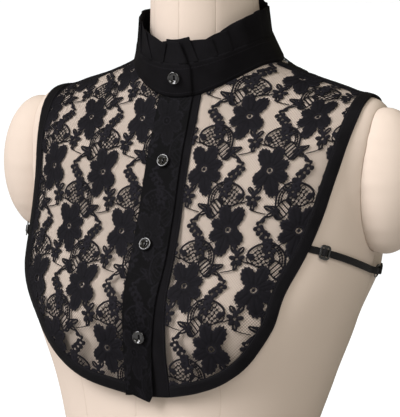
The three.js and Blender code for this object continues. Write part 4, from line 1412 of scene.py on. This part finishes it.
def pleat_fold(seam, top, lap, rise):
    """A pleat's outer bend, the cloth going back under it and its inner bend."""
    bend = math.degrees(PLEAT_BEND / RUFFLE_RADIUS)
    rows = []
    for angle in np.radians(np.linspace(90, -90, 6)):
        reach = bend * math.cos(angle)
        rows.append((seam + reach, top + reach, 1.65 + 0.45 * math.sin(angle), rise))
    for share in (0.25, 0.5, 0.75):
        rows.append((seam - lap * share, top - lap * share, 1.2 - 0.2 * share, rise - 0.5 * share))
    for angle in np.radians(np.linspace(90, 270, 6)):
        reach = lap - bend * math.cos(angle)
        rows.append((seam - reach, top - reach, 0.65 + 0.35 * math.sin(angle), rise - 0.6))
    return rows


def pleat_line():
    """The cloth's way through its pleats: turns at the seam and the top, distance out, and the top's rise."""
    rows = []
    seam, top, lap = RUFFLE_START, RUFFLE_START - 1, 0.0
    before = seam
    ending = (*RUFFLE_END[:2], 0, *RUFFLE_END[2:])
    near, far = PLEAT_LIFTS
    for next_seam, next_top, overlap, rise_before, rise_at in [*PLEATS, ending]:
        for share in np.linspace(0, 1, 14)[:-1]:
            climb = (mix(before, next_seam, share) - before - 0.6 * lap) / max(next_seam - before, 1)
            wave = 1.1 * math.sin(math.pi * share) * (1 if rise_at < 0.5 else -0.4)
            out = near + (far - near) * float(smooth(climb, 0, 0.85))
            rise = mix(rise_before, rise_at, share) + wave
            rows.append((mix(seam, next_seam, share), mix(top, next_top, share), out, rise))
        lap = math.degrees(overlap / RUFFLE_RADIUS)
        if overlap:
            rows += pleat_fold(next_seam, next_top, lap, rise_at)
        seam, top, before = next_seam - lap, next_top - lap, next_seam
    rows.append((*RUFFLE_END[:2], far, RUFFLE_END[3]))
    return np.array(rows)


def add_ruffle(material):
    line = pleat_line()
    share = shares(14)
    turn = np.radians(mix(line[:, :1], line[:, 1:2], share))
    tight = mix(0.5, 1.0, smooth(np.degrees(turn), 9, 22))
    spread = mix(0.42, 1.15, share**1.3) * tight
    depth = line[:, 2:3] * spread + 0.5 * share**2 * wobble(turn * 54, (15, 23), 61) * tight
    middle = stacked(turn * RUFFLE_RADIUS, depth)
    tangent = unit(np.gradient(middle, axis=0) + 1e-9)
    grids = []
    for half in (PLEAT_WALL, -PLEAT_WALL):
        moved = turn - half * tangent[..., 1] / RUFFLE_RADIUS
        out = band_lift(turn, 0) + 0.15 + depth + half * tangent[..., 0]
        foot = collar_point(COLLAR_SEAM, moved, out) - (0, 0, RUFFLE_TUCK)
        p = mix(foot, collar_point(COLLAR_TOP, moved, out), share[..., None])
        p[..., 2] += line[:, 3:4] * share**1.4
        grids.append(p)
    along = walked(middle[:, -1])[:, None]
    flat = stacked(along, share * RUFFLE_WIDTH)
    piece = wall_piece("ruffle", *grids, material, "solid_cloth", ["collar_ruffle"], flat)


# ---------- buttons ----------
BUTTON_PROFILE = [
    (3.2, 0.2), (4.9, 0.2), (5.35, 0.5), (5.62, 0.95), (5.7, 1.4), (5.66, 1.85), (5.5, 2.25), (5.2, 2.52),
    (4.85, 2.6), (4.5, 2.5), (4.2, 2.2), (3.95, 1.9), (3.6, 1.74), (3.2, 1.6),
]
BUTTON_DISH = {"radius": 3.4, "low": 0.35, "high": 1.05, "rise": 0.62}
BUTTON_HOLES = {"radius": 0.8, "offset": 1.35}
BUTTON_LIFT = 3.9
BAND_BUTTON = {"x": 1.0, "share": 0.57, "lift": 0.35}  # share of the band's height
BUTTON_PLACES = [(1, 401), (-2, 331), (3, 259)]
THREADS_ACROSS = (-0.33, -0.1, 0.13, 0.36)
THREAD = {"radius": 0.16, "reach": 1.45, "arch_reach": 1.5, "arch": 0.34, "lift": 1.22, "drop": 1.2}


def placed(local, origin, *axes):
    """Points given along axes of their own, from an origin."""
    points = origin
    for k, axis in enumerate(axes):
        points = points + local[:, k:k + 1] * axis
    return points


def button_shape():
    """A dished button with a rolled rim: its points and faces."""
    around = 72
    angle = circle(around)[:, None]
    radius, height = np.array(BUTTON_PROFILE).T
    lathe = stacked(radius * np.cos(angle), radius * np.sin(angle), height[None]).reshape(-1, 3)
    rim = in_triangles(grid_faces(around, len(radius), loop_rows=True, loop_columns=True))
    span = np.arange(-3.6, 3.6, 0.16)
    s, t = np.meshgrid(span, span, indexing="ij")
    depth = disc(s, t, (0, 0), BUTTON_DISH["radius"])
    for sign in (-1, 1):
        hole = disc(s, t, (0, sign * BUTTON_HOLES["offset"]), BUTTON_HOLES["radius"])
        depth = np.minimum(depth, -hole)
    flat, deep, faces = clipped_mesh(s, t, depth)
    away = np.hypot(*flat.T)
    soft = 0.18 * np.exp(-deep / 0.2) * (away < 3.0)
    dish = BUTTON_DISH["high"] + BUTTON_DISH["rise"] * (away / BUTTON_DISH["radius"]) ** 2
    top = np.column_stack((flat, dish - soft))
    bottom = np.column_stack((flat, np.full(len(flat), BUTTON_DISH["low"])))
    floor = np.concatenate((faces, faces[:, ::-1] + len(flat), rim_faces(faces, len(flat))))
    return np.concatenate((lathe, top, bottom)), np.concatenate((rim, floor + len(lathe)))


def tube(path, radius, sides):
    """An open tube along a path of points."""
    along = unit(np.gradient(path, axis=0))
    side = unit(np.cross(along, np.broadcast_to((0.31, 0.2, 0.93), along.shape)))
    up = np.cross(along, side)
    angle = circle(sides)[None, :, None]
    points = path[:, None] + radius * (np.cos(angle) * side[:, None] + np.sin(angle) * up[:, None])
    return points.reshape(-1, 3), in_triangles(grid_faces(len(path), sides, loop_columns=True))


def stitch_shape():
    """Four turns of thread through the two holes."""
    parts, count = [], 0
    for k, x in enumerate(THREADS_ACROSS):
        y = np.linspace(-THREAD["reach"], THREAD["reach"], 15)
        arch = THREAD["arch"] * np.sqrt(np.maximum(1 - (y / THREAD["arch_reach"]) ** 2, 0))
        z = THREAD["lift"] + arch - THREAD["drop"] * (np.abs(y) > 1.4) + 0.04 * k
        path = stacked(x + 0.05 * np.sin(3 * y + k), y, z)
        points, faces = tube(path, THREAD["radius"], 8)
        parts.append((points, faces + count))
        count += len(points)
    return tuple(np.concatenate(arrays) for arrays in zip(*parts))


def button_frames():
    """Where each button sits and the way it faces, from the band's down."""
    turn = neck_place(BAND_BUTTON["x"])[0]
    foot = cloth_point(turn, neck_level(turn), OVER_LIFTS[1])
    top = collar_point(COLLAR_SEAM, turn, OVER_LIFTS[1])
    normal = unit(np.cross((1, 0, 0), top - foot))
    yield mix(foot, top, BAND_BUTTON["share"]) + normal * BAND_BUTTON["lift"], normal
    for x, z in BUTTON_PLACES:
        turn, level = locate(x, z, False)
        yield cloth_point(turn, level, BUTTON_LIFT), cloth_normal(turn, level)


def add_buttons(plastic, thread):
    shape, faces = button_shape()
    stitches, stitch_faces = stitch_shape()
    for k, (origin, normal) in enumerate(button_frames(), 1):
        tilt = unit(normal + np.array((0.03, 0, 0.02)) * math.sin(2.4 * k))
        across = unit(np.cross((0, 0, 1), tilt))
        axes = across, np.cross(tilt, across), tilt
        points = placed(shape, origin, *axes)
        button = make_piece(f"shirt_button_{k}", points, faces, plastic, "button", [f"button_{k}"])
        points = placed(stitches, origin, *axes)
        make_piece(f"button_thread_{k}", points, stitch_faces, thread, "button", [], stitches[:, :2])
        sharp_edges(button, 40)


def sharp_edges(piece, degrees):
    piece.data.set_sharp_from_angle(angle=radians(degrees))


# ---------- straps ----------
STRAP_WIDTH, STRAP_WALL, STRAP_LIFT, STACK_GAP = 6.0, 0.8, 0.6, 0.3
STRAP_HEIGHTS = {"front": 334, "back": 299}
RING_PLACE = (radians(91), 6.38)
RING = {"radius": 5.6, "wire": 0.6, "lift": 3.1, "inset": 0.55}
LOOP_RADIUS = 2.25
SLIDER = {"place": 12.5, "length": 10, "height": 12.5, "corner": 3, "lift": 1.95}
SLIDER_EDGE = {"bevel": 0.35, "half_thickness": 0.65}
SLOT = {"width": 2.7, "height": 8.6, "corner": 0.8, "offset": 2.1}
HUMP = {"height": 2.55, "half_length": 3.6}  # a strap's way over its slider's bar
SETTLING = 9  # the length over which a returning strap comes down on itself
BACK_RETURN = 16


class Route:
    """A strap's way over the form, straight between two places of the figure."""

    def __init__(self, start, end):
        self.start, self.end = np.array(start, float), np.array(end, float)
        self.shares = np.linspace(-0.1, 1.3, 500)
        gone = walked(cloth_point(*self.place(self.shares)))
        self.gone = gone - np.interp(0, self.shares, gone)
        self.length = float(np.interp(1, self.shares, self.gone))

    def place(self, share):
        share = np.asarray(share)
        return mix(self.start[0], self.end[0], share), mix(self.start[1], self.end[1], share)

    def frame(self, distance):
        here = self.place(np.interp(distance, self.gone, self.shares))
        ahead = self.place(np.interp(np.asarray(distance) + 1, self.gone, self.shares))
        origin, normal = cloth_point(*here), cloth_normal(*here)
        along = cloth_point(*ahead) - origin
        along = unit(along - np.sum(along * normal, -1, keepdims=True) * normal)
        return origin, along, np.cross(normal, along), normal

    def at(self, distance, across, lift):
        origin, _, side, normal = self.frame(distance)
        return origin + side * np.asarray(across)[..., None] + normal * np.asarray(lift)[..., None]

    def fitted(self, local, distance, lift):
        """Points given round a place at a distance along the strap."""
        origin, along, across, normal = self.frame(distance)
        return placed(local, origin + normal * lift, along, across, normal)


def strap_start(patch, height, gap, hem, tip):
    low, high = hem, tip
    for _ in range(30):
        middle = (low + high) / 2
        place = outline_place(patch, np.array([middle]))[0]
        low, high = (middle, high) if figure_point(*place)[2] < height else (low, middle)
    u = np.array([low - 0.002, low, low + 0.002])
    return inset_places(patch, u, [-gap])[0, 1]


def strap_line(turn_at_distance, return_to, over_bar):
    """Distances along the form and lifts of a strap's middle line, out to its ring and back."""
    low = STRAP_LIFT + STRAP_WALL / 2
    high = low + STRAP_WALL + STACK_GAP
    line = []
    for distance in np.linspace(-2.5, turn_at_distance, 60)[:-1]:
        hump = max(1 - abs(distance - SLIDER["place"]) / HUMP["half_length"], 0) if over_bar else 0
        line.append((distance, low + HUMP["height"] * float(smooth(hump, 0, 0.75))))
    for angle in np.radians(np.linspace(-90, 90, 17)):
        reach, rise = LOOP_RADIUS * math.cos(angle), LOOP_RADIUS * (1 + math.sin(angle))
        line.append((turn_at_distance + reach, low + rise))
    for distance in np.linspace(turn_at_distance, return_to, 36)[1:]:
        settled = float(smooth(turn_at_distance - distance, 0, SETTLING))
        line.append((distance, mix(low + 2 * LOOP_RADIUS, high, settled)))
    return np.array(line)


def add_strap(name, node, route, turn_at_distance, return_to, over_bar, material):
    line = strap_line(turn_at_distance, return_to, over_bar)
    tangent = unit(np.gradient(line, axis=0))
    share = shares(9)
    across = (share - 0.5) * STRAP_WIDTH * np.ones((len(line), 1))
    grids = []
    for face in (1, -1):
        half = face * mix(0.18, STRAP_WALL / 2, rounded(share, 8))
        distance = line[:, :1] - half * tangent[:, 1:]
        grids.append(route.at(distance, across, line[:, 1:] + half * tangent[:, :1]))
    flat = stacked(walked(line)[:, None], share * STRAP_WIDTH)
    wall_piece(name, *grids, material, "elastic", [node], flat)


def flat_curve(name, outlines, extrude, bevel):
    """The mesh of a plate with openings, its edges rounded."""
    curve = bpy.data.curves.new(name, "CURVE")
    curve.dimensions = "2D"
    curve.fill_mode = "BOTH"
    curve.extrude, curve.bevel_depth, curve.bevel_resolution = extrude, bevel, 3
    for outline in outlines:
        line = curve.splines.new("POLY")
        line.points.add(len(outline) - 1)
        for point, (x, y) in zip(line.points, outline):
            point.co = (x, y, 0, 1)
        line.use_cyclic_u = True
    holder = bpy.data.objects.new(name, curve)
    mesh = bpy.data.meshes.new_from_object(holder)
    bpy.data.objects.remove(holder)
    bpy.data.curves.remove(curve)
    points = np.array([v.co for v in mesh.vertices])
    mesh.calc_loop_triangles()
    faces = np.array([t.vertices for t in mesh.loop_triangles])
    bpy.data.meshes.remove(mesh)
    return points, faces


def rounded_box(width, height, corner, middle=0.0, steps=8):
    outline = []
    for quarter, (right, up) in enumerate(((1, 1), (-1, 1), (-1, -1), (1, -1))):
        for k in range(steps + 1):
            angle = (quarter + k / steps) * math.pi / 2
            x = middle + right * (width / 2 - corner) + corner * math.cos(angle)
            outline.append((x, up * (height / 2 - corner) + corner * math.sin(angle)))
    return outline


def add_slider(word, route, material):
    """A plate with two slots for the doubled strap."""
    bevel, half_thickness = SLIDER_EDGE["bevel"], SLIDER_EDGE["half_thickness"]
    flat_half = half_thickness - bevel
    length, height = SLIDER["length"] - 2 * bevel, SLIDER["height"] - 2 * bevel
    outlines = [rounded_box(length, height, SLIDER["corner"] - flat_half)]
    for side in (-1, 1):
        slot = rounded_box(SLOT["width"], SLOT["height"], SLOT["corner"], side * SLOT["offset"])
        outlines.append(slot[::-1])
    local, faces = flat_curve("slider_plate", outlines, flat_half, bevel)
    points = route.fitted(local, SLIDER["place"], SLIDER["lift"] + half_thickness)
    piece = make_piece(f"slider_plate_{word}", points, faces, material, "strap_fitting", [f"slider_{word}"])
    sharp_edges(piece, 50)


def add_ring(word, route, material):
    around, sides = 64, 14
    a, b = circle(around)[:, None], circle(sides)[None]
    reach = RING["radius"] + RING["wire"] * np.cos(b)
    local = stacked(reach * np.cos(a), reach * np.sin(a), RING["wire"] * np.sin(b)).reshape(-1, 3)
    points = route.fitted(local, route.length, RING["lift"])
    faces = grid_faces(around, sides, loop_rows=True, loop_columns=True)
    make_piece(f"wire_ring_{word}", points, faces, material, "strap_fitting", [f"ring_{word}"])


def add_straps(side, front_bib, back_bib, elastic, plastic):
    word = SIDE_WORDS[side]
    ring_place = (side * RING_PLACE[0], RING_PLACE[1])
    back_start = strap_start(back_bib, STRAP_HEIGHTS["back"], 1.4, 0.5, 0 if side > 0 else 1)
    if side < 0:
        back_start = back_start - (2 * np.pi, 0)
    front_start = strap_start(front_bib, STRAP_HEIGHTS["front"], 0.8, 0.1, 1)
    front, back = Route(front_start, ring_place), Route(back_start, ring_place)
    front_turn = front.length - RING["radius"] + RING["inset"]
    back_turn = back.length - RING["radius"] + RING["inset"]
    front_return = SLIDER["place"] + SLIDER["length"] / 2 + 0.1
    back_return = back_turn - BACK_RETURN
    for where, route, turn, return_to in (
        ("front", front, front_turn, front_return),
        ("back", back, back_turn, back_return),
    ):
        name, node = f"elastic_{where}_{word}", f"strap_{where}_{word}"
        add_strap(name, node, route, turn, return_to, where == "front", elastic)
    add_slider(word, front, plastic)
    add_ring(word, front, plastic)


# ---------- stage, lights and camera, in metres ----------
FLOOR_HALF = 30
MIDDLE = (0, 0, 0.36)
LIGHTS = [  # name, kind, place, target, energy, size (an angle for the sun) and colour
    ("high_key", "SUN", (-1.9, -2.5, 3.1), MIDDLE, 3.4, radians(30), (1, 0.985, 1)),
    ("softbox", "AREA", (-1.8, -2.4, 1.15), MIDDLE, 25, (0.8, 1.1), (1, 0.975, 1)),
    ("shoulder_fill", "AREA", (0.55, -0.7, 1.0), (0.1, -0.03, 0.46), 5.6, (0.6, 0.6), (1, 0.97, 0.95)),
]
WORLD_FILL = ((1, 0.9, 0.5, 1), 0.17)
WORLD_SEEN = ((1, 1, 1, 1), 1.0)
CAMERA = {
    "azimuth": radians(26),
    "elevation": radians(8),
    "reach": 1.5,
    "target": (0, 0, 0.352),
    "film": 36,
    "lens": 36 * 1667 / 417,  # a focal length of 1667 for a view 417 high
}


def add_floor():
    corners = [(x * FLOOR_HALF, y * FLOOR_HALF, 0) for x, y in ((-1, -1), (1, -1), (1, 1), (-1, 1))]
    mesh = bpy.data.meshes.new("floor")
    mesh.from_pydata(corners, [], [(0, 1, 2, 3)])
    mesh.materials.append(floor_paint())
    floor = bpy.data.objects.new("floor", mesh)
    bpy.context.collection.objects.link(floor)
    floor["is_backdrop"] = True


def aimed(holder, place, direction):
    """Puts a light or the camera at its place, facing along a direction."""
    holder.location = place
    holder.rotation_euler = direction.to_track_quat("-Z", "Y").to_euler()
    bpy.context.collection.objects.link(holder)


def add_light(name, kind, place, target, energy, size, color):
    data = bpy.data.lights.new(name, kind)
    data.energy, data.color = energy, color
    if kind == "AREA":
        data.shape, data.size, data.size_y = "RECTANGLE", *size
    else:
        data.angle = size
    aimed(bpy.data.objects.new(name, data), place, Vector(target) - Vector(place))


def add_world():
    """A soft fill on the form, and white where the camera looks past the floor."""
    world = bpy.data.worlds.new("studio")
    bpy.context.scene.world = world
    world.use_nodes = True
    tree = world.node_tree
    fill, seen = tree.nodes["Background"], tree.nodes.new("ShaderNodeBackground")
    for background, (color, strength) in ((fill, WORLD_FILL), (seen, WORLD_SEEN)):
        background.inputs["Color"].default_value = color
        background.inputs["Strength"].default_value = strength
    pick, path = tree.nodes.new("ShaderNodeMixShader"), tree.nodes.new("ShaderNodeLightPath")
    sources = path.outputs["Is Camera Ray"], fill.outputs[0], seen.outputs[0]
    for source, socket in zip(sources, pick.inputs):
        tree.links.new(source, socket)
    tree.links.new(pick.outputs[0], tree.nodes["World Output"].inputs["Surface"])


def add_camera():
    azimuth, elevation = CAMERA["azimuth"], CAMERA["elevation"]
    level_reach = math.cos(elevation)
    away = Vector((math.sin(azimuth) * level_reach, -math.cos(azimuth) * level_reach, math.sin(elevation)))
    data = bpy.data.cameras.new("camera")
    data.sensor_width, data.lens = CAMERA["film"], CAMERA["lens"]
    camera = bpy.data.objects.new("camera", data)
    aimed(camera, Vector(CAMERA["target"]) + CAMERA["reach"] * away, -away)
    bpy.context.scene.camera = camera


# ---------- the whole ----------
EDGE_GAP = 0.3  # how far a bib runs in under its placket


def add_form():
    cloth = form_cloth()
    add_torso(cloth)
    for side in SIDE_WORDS:
        add_cap(side, cloth)


def beside(edge, gap):
    return edge[0] + gap, edge[1] + gap


def add_garment():
    tiles = make_tile(cell), make_tile(petal_folds)
    lace, net = lace_thread("lace_thread", 0.5, 2.8), net_ground()
    right = front_patch(-1, beside(PLACKET["left"], -EDGE_GAP))
    left = front_patch(1, beside(UNDER_PLACKET["right"], EDGE_GAP))
    back = back_patch()
    front_chart = Chart(False, 158, -150, 204)
    back_chart = Chart(True, 152, -110, 216)
    add_panel("front_right", front_chart, right, "front_panel_right", tiles, (-30, 12), 0.7, lace, net)
    add_panel("front_left", front_chart, left, "front_panel_left", tiles, (38.7, 70.5), 0.68, lace, net)
    add_panel("back", back_chart, back, "back_panel", tiles, (0, 40), 1.15, lace, net)
    binding_cloth = black_cloth("binding_cloth", 0.62, BINDING["stitches"])
    add_binding("front_right", right, 260, binding_cloth)
    add_binding("front_left", left, 260, binding_cloth)
    add_binding("back", back, 340, binding_cloth)
    seam_cloth = black_cloth("shoulder_seam_cloth", 0.7, SEAM_STRIP["stitches"])
    for side in SIDE_WORDS:
        add_shoulder_seam(side, seam_cloth)
    add_under_placket(black_cloth("under_placket_cloth", 0.75, UNDER_STRIP["stitches"]))
    add_placket(tiles, lace_thread("placket_lace", 0.25, 1.6))
    add_band(black_cloth("band_cloth", 0.72, (3.0, 23.0)))
    add_ruffle(black_cloth("ruffle_cloth", 0.72))
    add_buttons(black_plastic("button_gloss", 0.1, 0.05), black_cloth("button_thread", 0.6))
    elastic, fitting = elastic_cloth(), black_plastic("fitting_plastic", 0.22, 0.12)
    add_straps(1, left, back, elastic, fitting)
    add_straps(-1, right, back, elastic, fitting)


bpy.context.scene.view_settings.view_transform = "Standard"
add_camera()
for light in LIGHTS:
    add_light(*light)
add_world()
add_floor()
add_form()
add_garment()
boxes = {"cad": cad_box, "visual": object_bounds()}
{name: [list(corner) for corner in box] for name, box in boxes.items()}
